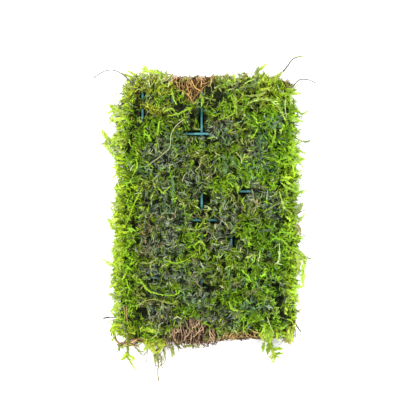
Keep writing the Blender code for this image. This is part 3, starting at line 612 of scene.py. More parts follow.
def in_body(x, y):
    """Whether each place is within the mat's outline and clear of its gaps."""
    clear = inside(list(map(tuple, from_photo(BODY_OUTLINE))), x, y)
    for *middle, half_width, half_height in GROUND_GAPS:
        a, b = from_photo(middle)
        across, along = half_width * PHOTO_PIXEL, half_height * PHOTO_PIXEL
        clear &= ((x - a) / across) ** 2 + ((y - b) / along) ** 2 > 1
    return clear


def kept_in_body(lines, loose, rng):
    """The lines that stay in the outline, shortened where they must be, and which they are."""
    kept, fitted = np.zeros(len(lines), bool), lines.copy()
    astray = rng.normal(0, loose, (len(lines), 2))
    for part in (1.0, 0.75, 0.5):
        shorter = lines[:, :1] + (lines - lines[:, :1]) * part
        good = ~kept
        for k in (lines.shape[1] // 2, -1):
            good &= in_body(*(shorter[:, k, :2] * OUTLINE_SLACK + astray).T)
        fitted[good] = shorter[good]
        kept |= good
    return fitted[kept], kept


def edge_at(table, place):
    """Where a side's edge lies at a distance along that side."""
    return np.interp(place, *np.array(table, float).T)


def hold_as_moss(piece):
    """Fixes a piece to the body as part of the moss, in place of the moss solid."""
    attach(piece, "root")
    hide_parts("moss")


columns, rows = FELT_STEPS
u = np.linspace(-1, 1, columns + 1)[:, None] * np.ones(rows + 1)
v = np.linspace(-1, 1, rows + 1)[None, :] * np.ones((columns + 1, 1))
half_width, half_length = FELT_HALF
left, right = edge_at(LEFT_EDGE, v * half_length) + 2.0, edge_at(RIGHT_EDGE, v * half_length) - 0.2
low, high = edge_at(BOTTOM_EDGE, u * half_width) + 1.6, edge_at(TOP_EDGE, u * half_width) - 1.6
felt_x = left + (right - left) * (u + 1) / 2
felt_y = low + (high - low) * (v + 1) / 2
stand = moss_height(felt_x, felt_y)
stand = np.where(stand < PAD_TOP, USUAL_STAND, stand)
rim = np.minimum((1 - np.abs(u)) * half_width, (1 - np.abs(v)) * half_length)
felt_z = np.clip(stand - FELT_DEPTH, HOLLOW_FLOOR, FELT_TOP)
felt_z += 0.5 * field(felt_x, felt_y, 1.4, 3.0)
felt_z = np.where(within_any(HOLLOWS, felt_x, felt_y, 0.2), HOLLOW_FLOOR, felt_z)
felt_z = np.where(within_any(OPENINGS, felt_x, felt_y, 0.25), WIRE_FLOOR, felt_z)
felt_z = np.where(on_bed(felt_x, felt_y), BARE_FELT, felt_z)
felt_z -= np.clip(1 - rim / 1.2, 0, 1) * np.where(felt_z > PAD_TOP, 1.8, 0.4)
points = np.stack([felt_x, felt_y, felt_z], -1)
index = np.arange((columns + 1) * (rows + 1)).reshape(columns + 1, rows + 1)
faces = np.stack([index[:-1, :-1], index[1:, :-1], index[1:, 1:], index[:-1, 1:]], -1).reshape(-1, 4)
upper = np.concatenate([index[:-1, 0], index[-1, :-1], index[:0:-1, -1], index[0, :0:-1]])
points = points.reshape(-1, 3)
bare = points[upper, 2] < PAD_TOP
foot = points[upper] * [1, 1, 0] + [0, 0, FELT_FOOT]
foot[:, 2] += 0.7 * field(foot[:, 0], foot[:, 1], 2.0, 5.0)
foot[bare, 2] = BARE_FOOT
foot[bare, :2] *= 0.97
lower = len(points) + np.arange(len(upper))
skirt = np.stack([upper, lower, np.roll(lower, -1), np.roll(upper, -1)], 1)
# The felt's near-black colour is painted shade deep in the gaps of the moss.
shade_black_felt = mottled("moss felt in painted shade", size=1.4, dark=(0.34, (0.002, 0.003, 0.002)),
                    light=(0.72, (0.020, 0.026, 0.009)), roughness=0.95, specular=0.05, relief=0.5)
hold_as_moss(add_piece("moss_felt", np.concatenate([points, foot]),
                       np.concatenate([faces, skirt]), shade_black_felt))

# ---------------------------------------------------------------------------------------
# The carpet: thousands of short leafy shoots, tangled in locks that lean their own way,
# some young and bright, others old, grey or dried brown. Gaps between the locks go down
# to the felt, and a shoot is darker the deeper it lies under the moss's top: painted shade
# from the shoots above, with older growth darker too.
# ---------------------------------------------------------------------------------------
LIME = (0.390, 0.570, 0.006)
YELLOW = (0.410, 0.480, 0.025)
FRESH = (0.140, 0.280, 0.003)
MID = (0.110, 0.186, 0.006)
OLIVE = (0.235, 0.290, 0.056)
GREY = (0.138, 0.170, 0.116)
COOL = (0.090, 0.172, 0.066)
DRY = (0.165, 0.130, 0.065)
# PALE colours whole shoots, partly as their own pale green and partly as painted highlight.
PALE = (0.360, 0.430, 0.170)
STRAW = (0.380, 0.400, 0.180)
# Where the moss is lime, yellow, fresh, grey, olive, bluish, dry or pale: x, y, and the soft
# size across and along.
LIME_SPOTS = (
    (-37, 44, 3, 9), (33, 45, 3.5, 9), (27.5, 44, 5, 2.5), (25, -54, 3.5, 4), (-39, -8, 2, 40),
    (33.5, 8, 2.5, 20), (34, -28, 2, 10), (29, 50, 7, 4.5), (-32.4, 7.5, 2.5, 4), (32, -52.6, 3, 2),
)
YELLOW_SPOTS = (
    (-28, 53, 11, 5.5), (-35, -54.5, 7, 4.5), (-26, -57.5, 10, 3), (22, 52, 9, 5), (-18, 50, 4, 5),
    (27, 46, 7, 3), (-25, 43, 5, 3),
)
FRESH_SPOTS = (
    (-24.7, 33.7, 4, 4), (-30.3, 30.3, 1.5, 4), (-21.3, 47.5, 2.5, 2.5), (9.7, 42.3, 3, 3),
    (19.5, 38, 4, 3), (6.7, 10.1, 6, 3), (17.4, 14.4, 6, 3), (34.6, 7.9, 3, 7), (22.5, -12.7, 8, 5),
    (-27.7, -53, 6, 2.5), (11, -39.3, 4, 5), (23.8, -48.7, 5, 4), (-8.4, -43.6, 4, 3),
    (26.8, -36, 3, 4), (32.4, -17.8, 5, 9), (-15.7, 7.9, 1.2, 6), (-8.4, -13.5, 3, 4), (30, 24, 6, 10),
    (24, 41, 7, 5), (14, 18, 6, 6), (11, 46, 6, 4), (-34, 20, 3, 30), (-34, -28, 3, 22),
    (33, 30, 3, 20), (20, -28, 7, 6), (14.8, -48, 3, 2.5),
)
GREY_SPOTS = (
    (-20, 22, 9, 7), (-18, -2, 9, 10), (6, -6, 6, 10), (-12, -27, 13, 5), (-4, -36, 6, 8),
    (20, 26, 5, 5), (2, 33, 6, 4), (5, 34, 5, 5), (-20, -14, 8, 7), (31, 34, 4, 4), (-22, -44, 7, 5),
    (18, 8, 5, 4), (13, 51, 5, 3), (4, -46, 7, 4), (-8, 13, 6, 5), (-30, 51, 4, 2.5), (-24, 47, 3, 2.5),
    (24, 22, 4, 5), (26, 2, 5, 4),
)
OLIVE_SPOTS = (
    (26, 47.5, 4, 3), (19.5, 43.6, 7, 2.5), (-22, 53, 8, 4), (-36, 29.4, 3, 4), (4.5, 38.9, 6, 1.5),
    (-19, 42.7, 4, 2), (-4, 23, 3, 3), (12, -52.4, 10, 1.8), (-27.7, 11.4, 6, 2), (-12.7, 4.5, 5, 3),
    (-30, -38, 3, 8), (34, -38, 2.5, 7), (-16, -55.6, 6, 2.5), (8, 52, 9, 4), (14, 24, 3, 5),
    (16.5, 28, 4, 3), (13.5, 37.6, 3, 2.5), (11.2, 5.5, 2.5, 4), (-4.1, -3.2, 2.5, 2.5),
)
COOL_SPOTS = (
    (-25.6, 48.7, 3, 3), (7.9, 30.3, 3, 3), (13.1, 18.7, 8, 5), (17.4, 53, 6, 3), (30.3, 38, 5, 5),
    (-8.4, -39.3, 5, 3), (18, -41, 6, 3), (21.7, 29.4, 3, 4), (-17, 1.5, 5, 6), (-4, 45, 3, 2),
    (-25.6, 16.5, 8, 5), (-14, 28, 5, 4), (20.5, 32.5, 3, 4), (33, 32, 3, 4), (24, 17, 4, 4),
    (20, -30, 5, 4), (28, -14, 3, 4),
)
DRY_SPOTS = (
    (5.4, 35.9, 6, 3), (-22.1, 41.4, 4, 3.5), (-1.9, 15.7, 4, 4), (15.2, 25.1, 4, 3),
    (-25.6, -5.8, 5, 4), (-25.6, -14, 7, 4), (2.4, -7.1, 6, 6), (15.2, 0.2, 5, 5), (22.5, 9.7, 4, 2),
    (28.1, -21.3, 3, 2), (-21.3, -47, 5, 3), (-25.6, -39.3, 5, 2), (-2, -48, 9, 2.5), (14, 30, 3, 3),
    (-34.5, -46, 2.5, 8), (35.4, -9, 2, 3),
)
# In the pale spots the pale colour is partly painted light through backlit fronds.
PALE_SPOTS = ((-30, 54, 9, 3.5), (-20, 55.5, 6, 2), (-37, 46, 2.5, 8), (9, 53.5, 7, 3))
# The patches: their colour, how strongly it shows in them, and where they are.
PATCHES = (
    (LIME, 1.6, LIME_SPOTS), (YELLOW, 1.7, YELLOW_SPOTS), (FRESH, 1.9, FRESH_SPOTS),
    (GREY, 1.3, GREY_SPOTS), (OLIVE, 1.3, OLIVE_SPOTS), (COOL, 1.2, COOL_SPOTS), (DRY, 0.6, DRY_SPOTS),
    (PALE, 1.7, PALE_SPOTS),
)
# Which of a shoot's choices of colour are lime or yellow: the rim's lime comes first, partly
# young growth and partly painted light through the edge leaves, then mid green and pale shoots
# that are partly painted highlight, and then the patches.
LIME_OR_YELLOW = (0, 3, 4)
# How deep under the moss's top a shoot gets its darkest painted shade, half a leaf's width as
# a share of its length, the colour of the painted sheen that lit leaf tips pale toward, and how
# light a leaf may be.
SHADE_DEPTH = 1.9
LEAF_SPREAD = 0.17
TIP_SHEEN_COLOUR = (0.92, 1.0, 0.62)
LIGHTEST_LEAF = 0.62
# How far the shoots are spread across and along.
CARPET_X, CARPET_Y = (-40.5, 38.6), (-58.5, 58.6)
# A grid of the moss's heights, a millimetre apart, and the least of them that counts.
GRID_X, GRID_Y = np.arange(-52.0, 48.0), np.arange(-77.0, 69.0)
LEAST_STAND = 7.4
stand_grid = moss_height(*np.meshgrid(GRID_X, GRID_Y, indexing="ij"))
stand_grid = np.where(stand_grid < LEAST_STAND, USUAL_STAND, stand_grid)


def stand_at(x, y):
    """How high the moss stands over each place, with its usual height beside the bare beds."""
    column = np.clip(np.rint(x - GRID_X[0]), 0, len(GRID_X) - 1).astype(int)
    row = np.clip(np.rint(y - GRID_Y[0]), 0, len(GRID_Y) - 1).astype(int)
    return stand_grid[column, row]


def strength(spots, x, y):
    """How strongly each place belongs to soft spots (x, y, size across, size along)."""
    most = np.zeros(np.shape(x))
    for a, b, size_x, size_y in spots:
        most = np.maximum(most, np.exp(-((x - a) / size_x) ** 2 - ((y - b) / size_y) ** 2))
    return most


def vividness(x, y):
    """How strongly each place belongs to the fresh, bright moss."""
    return strength(LIME_SPOTS + YELLOW_SPOTS + FRESH_SPOTS, x, y)


def leafy_shoots(rng, lines, leaf_length, leaves, stem_radius, opening, bushy=1.0):
    """Three-sided stems along the lines, with a folded pointed leaf to each side by turns.

    The opening is the angle of the leaves to the stem. Gives points, faces, map places, each
    point's share along its shoot, its lightness with painted glints, and its share of painted sheen.
    """
    count, rings, _ = lines.shape
    radius = np.full(count, stem_radius)
    points, faces, places = strands(lines, radius, radius * 0.5, 3)
    each = points.shape[1]
    places = np.tile(places, (count, 1, 1))
    places[..., 1] = 0.47 + 0.06 * places[..., 1]
    share = (np.arange(leaves) + 0.6) / leaves
    share = share[None] * 0.97 + rng.uniform(-0.25, 0.25, (count, leaves)) / leaves
    spot = np.clip(share, 0, 0.999) * (rings - 1)
    at = spot.astype(int)
    part = (spot - at)[..., None]
    each_line = np.arange(count)[:, None]
    base = lines[each_line, at] * (1 - part) + lines[each_line, at + 1] * part
    along, across, over = (part_of[each_line, at] for part_of in line_frames(lines))
    side = np.where(np.arange(leaves) % 2, 1.0, -1.0)[None, :, None]
    roll = rng.normal(0.0, 0.6, (count, leaves, 1)) * bushy
    out = side * across * np.cos(roll) + over * np.sin(roll)
    opening = opening + rng.normal(0.0, 0.14, (count, leaves, 1)) - 0.25 * share[..., None] ** 2
    pointing = out * np.sin(opening) + along * np.cos(opening)
    taper = np.clip(np.minimum(0.6 + 2.2 * share, 1.5 - 0.9 * share), 0.3, 1.0)
    size = (leaf_length[:, None] * taper * rng.uniform(0.7, 1.25, (count, leaves)))[..., None]
    face = unit(np.cross(pointing, np.cross(over + 0.35 * out, pointing)))
    width = np.cross(pointing, face) * LEAF_SPREAD
    middle = base + pointing * size * 0.42 + face * size * 0.08
    tip = base + pointing * size - face * size * 0.12
    leaf = np.stack([base, middle + width * size, tip, middle - width * size], 2)
    start = each + np.arange(leaves)[:, None] * 4
    local = np.concatenate([start + [0, 1, 2], start + [0, 2, 3]])
    total = each + leaves * 4
    leaf_faces = (np.arange(count) * total)[:, None, None] + local
    stem_faces = faces + (faces // each) * (total - each)
    spread_out = size[..., 0] / size[..., 0].max()
    v_tip = 0.5 + 0.46 * side[..., 0] * spread_out * np.sin(opening[..., 0])
    v_mid = 0.5 + 0.2 * side[..., 0] * spread_out
    spots_u = np.stack([share, share - 0.02, share + 0.03, share + 0.03], -1)
    spots_v = np.stack([np.full_like(v_tip, 0.5), v_mid, v_tip, v_mid], -1)
    leaf_places = np.stack([spots_u, spots_v], -1).reshape(count, leaves * 4, 2)
    shares = np.concatenate([places[..., 0], np.repeat(share, 4, 1)], 1)
    # Leaf lightness varies at random with painted glints; the painted sheen falls most on leaf tips.
    gleam = np.exp(rng.normal(0, 0.22, (count, leaves, 1))) * np.array([0.8, 1.0, 1.1, 1.0])
    lightness = np.concatenate([np.full((count, each), 0.95), gleam.reshape(count, -1)], 1)
    sheen_share = np.concatenate([np.full(each, 0.0), np.tile([0.0, 0.3, 1.0, 0.3], leaves)])
    points = np.concatenate([points, leaf.reshape(count, -1, 3)], 1)
    places = np.clip(np.concatenate([places, leaf_places], 1), 0, 1)
    faces = np.concatenate([stem_faces, leaf_faces.reshape(-1, 3)])
    return points, faces, places, shares, lightness, sheen_share


def moss_piece(name, groups, depth_shade=False, pale=0.30):
    """Joins groups of leafy shoots in one piece. A group is (shoots, root and tip colours)."""
    parts = []
    for (shape, skin, spots, shares, lightness, sheen_share), root_colour, tip_colour in groups:
        mix = np.clip(shares, 0, 1)[..., None]
        # Painted shade: a shoot darkens the deeper it lies under the moss's top, with older growth
        # darker too.
        if depth_shade:
            depth = stand_at(shape[..., 0], shape[..., 1]) - shape[..., 2]
            lightness = lightness * np.clip(1.12 - 0.65 * depth / SHADE_DEPTH, 0.22, 1.15)
        tint = root_colour[:, None] * (1 - mix) + tip_colour[:, None] * mix
        tint = tint * lightness[..., None]
        # Painted sheen: the lighter a leaf tip, the more it pales toward the sheen colour.
        light = tint.max(-1, keepdims=True)
        part = (pale * sheen_share)[:, None] * np.clip((light - 0.08) / 0.3, 0, 1)
        if depth_shade:
            part = part * np.clip(3 * tint[..., 2:] / light, 0.5, 1)
        tint += (np.array(TIP_SHEEN_COLOUR) * light - tint) * part
        tint = tint * np.minimum(1, LIGHTEST_LEAF / tint.max(-1, keepdims=True))
        parts.append((shape, skin, tint, spots))
    hold_as_moss(joined(name, parts, moss_green, lowest=0.05, margin=0.06))


def rim_distance(x, y):
    """How far each place lies in from the mat's left or right edge, and from the other two."""
    beside = np.minimum(x - edge_at(LEFT_EDGE, y), edge_at(RIGHT_EDGE, y) - x)
    return beside, np.minimum(y - edge_at(BOTTOM_EDGE, x), edge_at(TOP_EDGE, x) - y)


def greener(x):
    """The share of red, green and blue left to the colours, less of red toward the right."""
    red = 1 - 0.11 * np.clip((x - 8) / 20, 0, 1)
    return np.stack([red, np.ones_like(x), np.ones_like(x)], -1)


def shoot_colours(x, y, rng, bright=0.0):
    """Root and tip colours for shoots growing at these places."""
    count = len(x)
    beside, beyond = rim_distance(x, y)
    # Near the sides shoots turn lime and lighter: young growth, with painted light through the leaves.
    lime = np.clip(1 - np.minimum(beside, beyond + 2.0) / 4.5, 0, 1)
    dull = 1 - 0.45 * vividness(x, y)
    choices = [(LIME, 1.8 * lime + bright), (MID, 0.5 * (1 - 0.5 * lime) * (1 - bright)),
               (PALE, 0.08 * dull)]
    for layer, (colour, weight, spots) in enumerate(PATCHES):
        wild = 0.4 if 1 < layer < 7 else 0.08
        here = np.clip(strength(spots, x, y) + wild * field(x, y, 4.0, 1.5 + layer), 0, None)
        here = 0.05 + weight * here * (1 - 0.7 * lime)
        choices.append((colour, here * dull if layer > 2 else here))
    weights = np.stack([np.broadcast_to(weight, count) for _, weight in choices], 1) ** 1.5
    weights = weights / weights.sum(1, keepdims=True)
    pick = (weights.cumsum(1) < rng.uniform(0, 1, (count, 1))).sum(1).clip(0, len(choices) - 1)
    tips = np.array([colour for colour, _ in choices])[pick]
    vivid = np.isin(pick, LIME_OR_YELLOW)
    tips[vivid] *= (0.68 + 0.32 * lime)[vivid, None]
    tips = tips * np.exp(np.minimum(1.1 * field(x, y, 2.0, 8.0), 0.3))[:, None]
    tips = shade(tips, rng, np.where(vivid, 0.34, 0.5)[:, None]) * greener(x)
    return tips * rng.uniform(0.35, 0.65, (count, 1)) * [1, 1, 0.8], tips


def scattered(spacing, rng):
    """Places spread evenly over the top of the moss, jittered, away from anything bare."""
    xs, ys = np.meshgrid(np.arange(*CARPET_X, spacing), np.arange(*CARPET_Y, spacing))
    xs = xs.ravel() + rng.uniform(-0.5, 0.5, xs.size) * spacing
    ys = ys.ravel() + rng.uniform(-0.5, 0.5, ys.size) * spacing
    beside, beyond = rim_distance(xs, ys)
    keep = (beside > 0.3) & (beyond > 0.3) & ~within_any(OPENINGS + HOLLOWS, xs, ys, 0.1)
    keep &= ~on_bed(xs, ys) | (rng.uniform(0, 1, xs.size) < 0.04)
    return xs[keep], ys[keep]


def out_of_openings(lines):
    """Which lines leave the openings and the hollows clear at middle and tip."""
    keep = np.ones(len(lines), bool)
    for k in (-1, lines.shape[1] // 2):
        keep &= ~within_any(OPENINGS + HOLLOWS, lines[:, k, 0], lines[:, k, 1], -0.1)
    return keep


def carpet_lines(rng, spacing, sink, least, most, gap):
    """Lines of short shoots in locks, leaning together, with gaps between the locks.

    Their roots are sunk below the moss's top, and their lengths run from the least to the
    most, in millimetres.
    """
    x, y = scattered(spacing, rng)
    lump = field(x, y, 2.3, 6.0)
    keep = lump > gap - 0.12 * vividness(x, y)
    x, y, lump = x[keep], y[keep], lump[keep]
    count = len(x)
    beside, beyond = rim_distance(x, y)
    turn = 9.0 * field(x, y, 5.0, 4.0) + rng.normal(0, 0.6, count)
    rise = rng.normal(0.30, 0.35, count) + 0.8 * strength(GREY_SPOTS, x, y)
    push = np.column_stack([(x / 38.0) ** 5 * 1.6, (y / 58.0) ** 7 * 1.4, np.zeros(count)])
    headings = unit(facing(turn, 0.0) + push)
    headings[:, 2] = rise
    lengths = rng.uniform(least, most, count)
    z = stand_at(x, y) - sink + 1.3 * lump + rng.normal(0, 0.3, count)
    z -= np.clip(1 - np.minimum(beside, beyond) / 2.0, 0, 1) * 1.0
    roots = np.column_stack([x, y, z])
    roots[:, :2] -= headings[:, :2] * (lengths * 0.4)[:, None]
    lines = wander(rng, roots, headings, lengths, steps=3, bend=0.45, wave=0.05, sag=0.32)
    keep = out_of_openings(lines)
    lines, x, y = lines[keep], x[keep], y[keep]
    lines, keep = kept_in_body(lines, 0.3, rng)
    return lines, x[keep], y[keep]


moss_green = tinted("green moss", roughness=0.6, specular=0.06, speck_size=0.8, speck_depth=0.2)
rng = np.random.default_rng(21)
lines, x, y = carpet_lines(rng, spacing=1.42, sink=1.9, least=2.4, most=5.0, gap=-0.6)
roots, tips = shoot_colours(x, y, rng)
leaf = rng.uniform(0.7, 1.0, len(lines))
shoots = leafy_shoots(rng, lines, leaf, leaves=9, stem_radius=0.11, opening=0.8, bushy=1.2)
# The under shoots are darkened to about a quarter: painted shade under the top shoots.
moss_piece("moss_under_shoots", [(shoots, roots * 0.25, tips * 0.30)])

lines, x, y = carpet_lines(rng, spacing=0.77, sink=0.35, least=1.2, most=3.1, gap=-0.14)
order = np.argsort(y, kind="stable")
lines, x, y = lines[order], x[order], y[order]
roots, tips = shoot_colours(x, y, rng)
for number, part in enumerate(np.array_split(np.arange(len(lines)), 2)):
    leaf = rng.uniform(0.5, 0.8, len(part))
    shoots = leafy_shoots(rng, lines[part], leaf, leaves=9, stem_radius=0.13, opening=0.6, bushy=1.2)
    moss_piece(f"moss_carpet_{number + 1}", [(shoots, roots[part], tips[part])], depth_shade=True)

# ---------------------------------------------------------------------------------------
# Fronds on the carpet: longer, feathered shoots that lie over it in arcs, yellow-green
# where they are young, and pale dry ones, with the wiry brown and grey stems of old ones.
# ---------------------------------------------------------------------------------------
DRY_LEAF = (0.40, 0.235, 0.085)
PALE_LIME = (0.310, 0.440, 0.070)
# Single fronds that show on top: colour, leaf length, and places in the photograph's pixels.
PLACED_FRONDS = (
    (LIME, 0.85, ((191, 108), (178, 114), (168, 116))),
    (STRAW, 0.35, ((184, 120), (177, 125), (171, 134), (170.5, 143), (169, 149))),
    (STRAW, 0.35, ((169, 149), (158, 158), (145, 167))),
    (LIME, 0.7, ((143, 187), (136, 200), (131, 212), (125, 227))),
    (LIME, 0.85, ((165, 259), (176, 262), (186, 259), (196, 252))),
    (OLIVE, 0.85, ((186, 228), (197, 229), (209, 225))),
    (LIME, 0.8, ((197, 228), (203, 221), (208, 215))),
    (PALE_LIME, 0.95, ((278, 191), (281, 200), (283, 207), (291, 213))),
    (PALE_LIME, 1.5, ((246, 105), (255, 100), (266, 100), (274, 104), (280, 112), (284, 119))),
    (STRAW, 0.7, ((285, 99), (284, 108), (285.5, 118))),
    (LIME, 0.8, ((250, 115), (254, 118), (257, 123), (266, 121))),
    (OLIVE, 0.9, ((244, 96), (256, 96), (262, 94), (266, 90))),
    (LIME, 0.95, ((139, 277), (144, 284), (148, 289), (159, 293), (174, 294), (180, 289))),
    (OLIVE, 0.8, ((140, 302), (147, 299), (155, 298), (165, 301), (176, 303))),
    (STRAW, 0.4, ((266, 315), (269, 323), (274, 335))), (OLIVE, 0.8, ((230, 250), (242, 251))),
    (LIME, 1.0, ((271, 144), (274, 135), (273, 129))),
    (COOL, 1.1, ((172, 176), (173, 188), (172, 203))),
    (LIME, 0.9, ((230, 96), (233, 103), (234, 112), (228, 117), (218, 120))),
    (MID, 1.1, ((152, 136), (150, 129), (152, 122))), (LIME, 0.9, ((159, 121), (158, 132))),
    (FRESH, 1.1, ((139, 131), (140, 139), (139, 145))), (LIME, 0.9, ((171, 88), (173, 98), (176, 104))),
    (LIME, 1.0, ((163, 113), (171, 109), (178, 117))), (FRESH, 1.0, ((160, 102), (164, 97), (168, 97))),
    (LIME, 1.0, ((200, 94), (202, 100), (201, 106))),
    (FRESH, 1.1, ((186, 305), (191, 312), (196, 316))),
    (LIME, 1.1, ((281, 176), (287, 182), (293, 186))),
    (LIME, 1.1, ((280, 182), (286, 187), (294, 190))),
    (LIME, 1.1, ((292, 150), (297, 156), (302, 159))),
    (FRESH, 1.1, ((240, 225), (247, 223), (253, 228))),
    (LIME, 0.9, ((205, 245), (200, 241), (195, 244))),
    (FRESH, 1.1, ((258, 232), (264, 240), (272, 240))),
    (LIME, 1.0, ((280, 237), (288, 246), (298, 251))),
    (LIME, 0.8, ((219, 214), (220, 208), (224, 203))),
    (LIME, 0.9, ((257, 128), (254, 134), (250, 139))),
    (LIME, 1.0, ((136, 158), (137, 165), (135, 171))),
    (LIME, 0.9, ((158, 187), (163, 192), (170, 186))),
    (OLIVE, 0.9, ((140, 262), (150, 262), (157, 257))),
    (FRESH, 1.0, ((193, 220), (186, 214), (185, 226))),
    (PALE_LIME, 1.2, ((287, 91), (290, 98), (290, 105))),
    (FRESH, 1.3, ((291, 104), (289, 112), (290, 120))),
    (FRESH, 1.2, ((290, 126), (289, 133), (291, 141))),
    (LIME, 1.0, ((245, 332), (243, 328), (247, 324))),
    (LIME, 1.1, ((228, 300), (231, 306), (236, 309))),
    (LIME, 1.0, ((141, 330), (147, 327), (154, 330), (157, 336))),
    (STRAW, 0.3, ((152, 337), (157, 332), (159, 325))),
    (STRAW, 0.35, ((195, 170), (199, 166), (200, 160))),
    (STRAW, 0.3, ((235, 152), (240, 158), (241, 164))),
    (STRAW, 0.3, ((182, 181), (184, 175), (187, 172))),
    (OLIVE, 0.9, ((233, 95), (235, 104), (236, 116))),
    (OLIVE, 0.7, ((262, 212), (270, 207), (276, 203))),
    (DRY_LEAF, 0.45, ((176, 208), (175, 213), (175, 217))),
    (STRAW, 0.3, ((167, 217), (170, 219), (173, 217))),
    (DRY_LEAF, 0.2, ((127, 306), (126.5, 314), (128, 323))),
    (OLIVE, 0.4, ((123.5, 305), (125, 312), (124, 321))),
    (PALE_LIME, 0.8, ((243, 85), (247, 82), (252, 80))),
    (LIME, 1.0, ((275, 326), (281, 327), (286, 324))),
    (LIME, 0.9, ((126, 278), (128, 285), (131, 289))),
    (STRAW, 0.5, ((173, 318), (177, 316), (181, 318))),
    (DRY_LEAF, 0.3, ((142, 231), (143, 233), (145, 234))),
    (STRAW, 0.3, ((294, 224), (298, 229), (299, 236))),
)


def over_carpet(places, lift):
    """A line through places on the photograph, laid on the moss, in millimetres."""
    line = smooth_line(from_photo(places), 12)
    line = line[np.linspace(0, len(line) - 1, 10).round().astype(int)]
    height = stand_at(line[:, 0], line[:, 1])
    for _ in range(2):
        height = np.convolve(np.pad(height, 1, mode="edge"), [0.3, 0.4, 0.3], "valid")
    return np.column_stack([line, height + lift])


def side_branches(rng, lines, number, length):
    """Short side shoots, springing forward from each line by turns to the left and right.

    Their length is a share of the line's.
    """
    count, rings, _ = lines.shape
    along, across, over = line_frames(lines)
    whole = np.linalg.norm(np.diff(lines, axis=1), axis=2).sum(1)
    made = []
    for k in range(number):
        share = np.clip((k + 0.7) / (number + 0.6) + rng.uniform(-0.06, 0.06, count), 0.1, 0.92)
        at = np.arange(count), (share * (rings - 1)).astype(int)
        side = np.where((k + at[0]) % 2, 1.0, -1.0)[:, None]
        heading = along[at] * rng.uniform(0.55, 1.1, (count, 1)) + across[at] * side * 0.8
        heading += over[at] * rng.normal(0.05, 0.25, (count, 1))
        reach = whole * length * rng.uniform(0.6, 1.2, count) * (1.15 - 0.6 * share)
        made.append(wander(rng, lines[at], heading, reach, steps=4, bend=0.22, wave=0.03))
    return np.concatenate(made)


def fronds(rng, lines, roots, tips, leaf, leaves, branches=0, reach=0.3, opening=0.42):
    """Leafy stems along the lines with leafy side branches, as groups for a moss piece."""
    count = len(lines)
    leaf = np.broadcast_to(leaf, count) * rng.uniform(0.85, 1.15, count)
    stems = leafy_shoots(rng, lines, leaf, leaves, stem_radius=0.24, opening=opening)
    made = [(stems, roots, tips)]
    if branches:
        side = side_branches(rng, lines, branches, reach)
        leaf = np.tile(leaf * 0.8, branches)
        small = leafy_shoots(rng, side, leaf, leaves=8, stem_radius=0.13, opening=0.4)
        tips = np.tile(tips, (branches, 1))
        made.append((small, tips * 0.75, tips * 1.05))
    return made


rng = np.random.default_rng(52)
lines = np.array([over_carpet(places, 1.9) for _, _, places in PLACED_FRONDS])
tips = shade([colour for colour, _, _ in PLACED_FRONDS], rng, 0.08)
tips *= np.where(tips[:, 2:] < 0.03, [0.56, 0.68, 1.0], 1.0)
leaf = 1.2 * np.array([leaf for _, leaf, _ in PLACED_FRONDS])
groups = fronds(rng, lines, tips * 0.8, tips, leaf, leaves=30)
x, y = scattered(3.4, rng)
beside, _ = rim_distance(x, y)
wanted = 0.07 + 0.6 * strength(FRESH_SPOTS, x, y) + 0.5 * (beside < 5) + 0.25 * (x > 14)
keep = rng.uniform(0, 1, len(x)) < wanted
x, y = x[keep], y[keep]
turn = rng.uniform(0, 2 * math.pi, len(x))
lengths = rng.uniform(3.0, 6.6, len(x))
headings = facing(turn, rng.normal(0.2, 0.15, len(x)))
start = np.column_stack([x, y, stand_at(x, y) + 0.1])
start -= headings * [1, 1, 0] * (lengths * 0.45)[:, None]
lines = wander(rng, start, headings, lengths, steps=7, bend=0.5, wave=0.06, sag=0.3)
keep = out_of_openings(lines)
roots, tips = shoot_colours(x[keep], y[keep], rng, bright=0.12)
groups += fronds(rng, lines[keep], roots * 1.3, tips * 1.15, leaf=0.95, leaves=20, branches=2)
moss_piece("moss_carpet_fronds", groups)

x, y = scattered(6.0, rng)
dry_x, dry_y = rng.uniform(-30, 30, 500), rng.uniform(-50, 50, 500)
keep = strength(DRY_SPOTS, dry_x, dry_y) > 0.35
keep &= ~within_any(OPENINGS + HOLLOWS, dry_x, dry_y, 0.3)
x, y = np.concatenate([x, dry_x[keep]]), np.concatenate([y, dry_y[keep]])
count = len(x)
turn = rng.uniform(0, 2 * math.pi, count)
headings = facing(turn, rng.normal(0.1, 0.25, count))
start = np.column_stack([x, y, stand_at(x, y) + rng.normal(0.1, 0.4, count)])
lengths = rng.uniform(1.8, 5.0, count)
lines = wander(rng, start, headings, lengths, steps=6, bend=0.7, wave=0.10, sag=0.25)
lines = lines[out_of_openings(lines)]
mix = rng.uniform(0, 1, (len(lines), 1))
stem_tints = shade(np.array(DRY) * 0.8 * (1 - mix) + np.array(STRAW) * 0.6 * mix, rng, 0.4)
hold_as_moss(strand_piece("moss_old_stems", [(lines, stem_tints, 0.13, 0.06, 3)], moss_green))

# ---------------------------------------------------------------------------------------
# The fringe: younger, branching fronds that curl out over the four sides and down to the
# ground in fans, bright lime where the light comes through them, with dark twigs among them.
# ---------------------------------------------------------------------------------------
GOLDEN_MOSS = (0.340, 0.270, 0.055)
LIGHT_OLIVE = (0.310, 0.380, 0.085)
DEEP_LIME = (0.260, 0.390, 0.004)
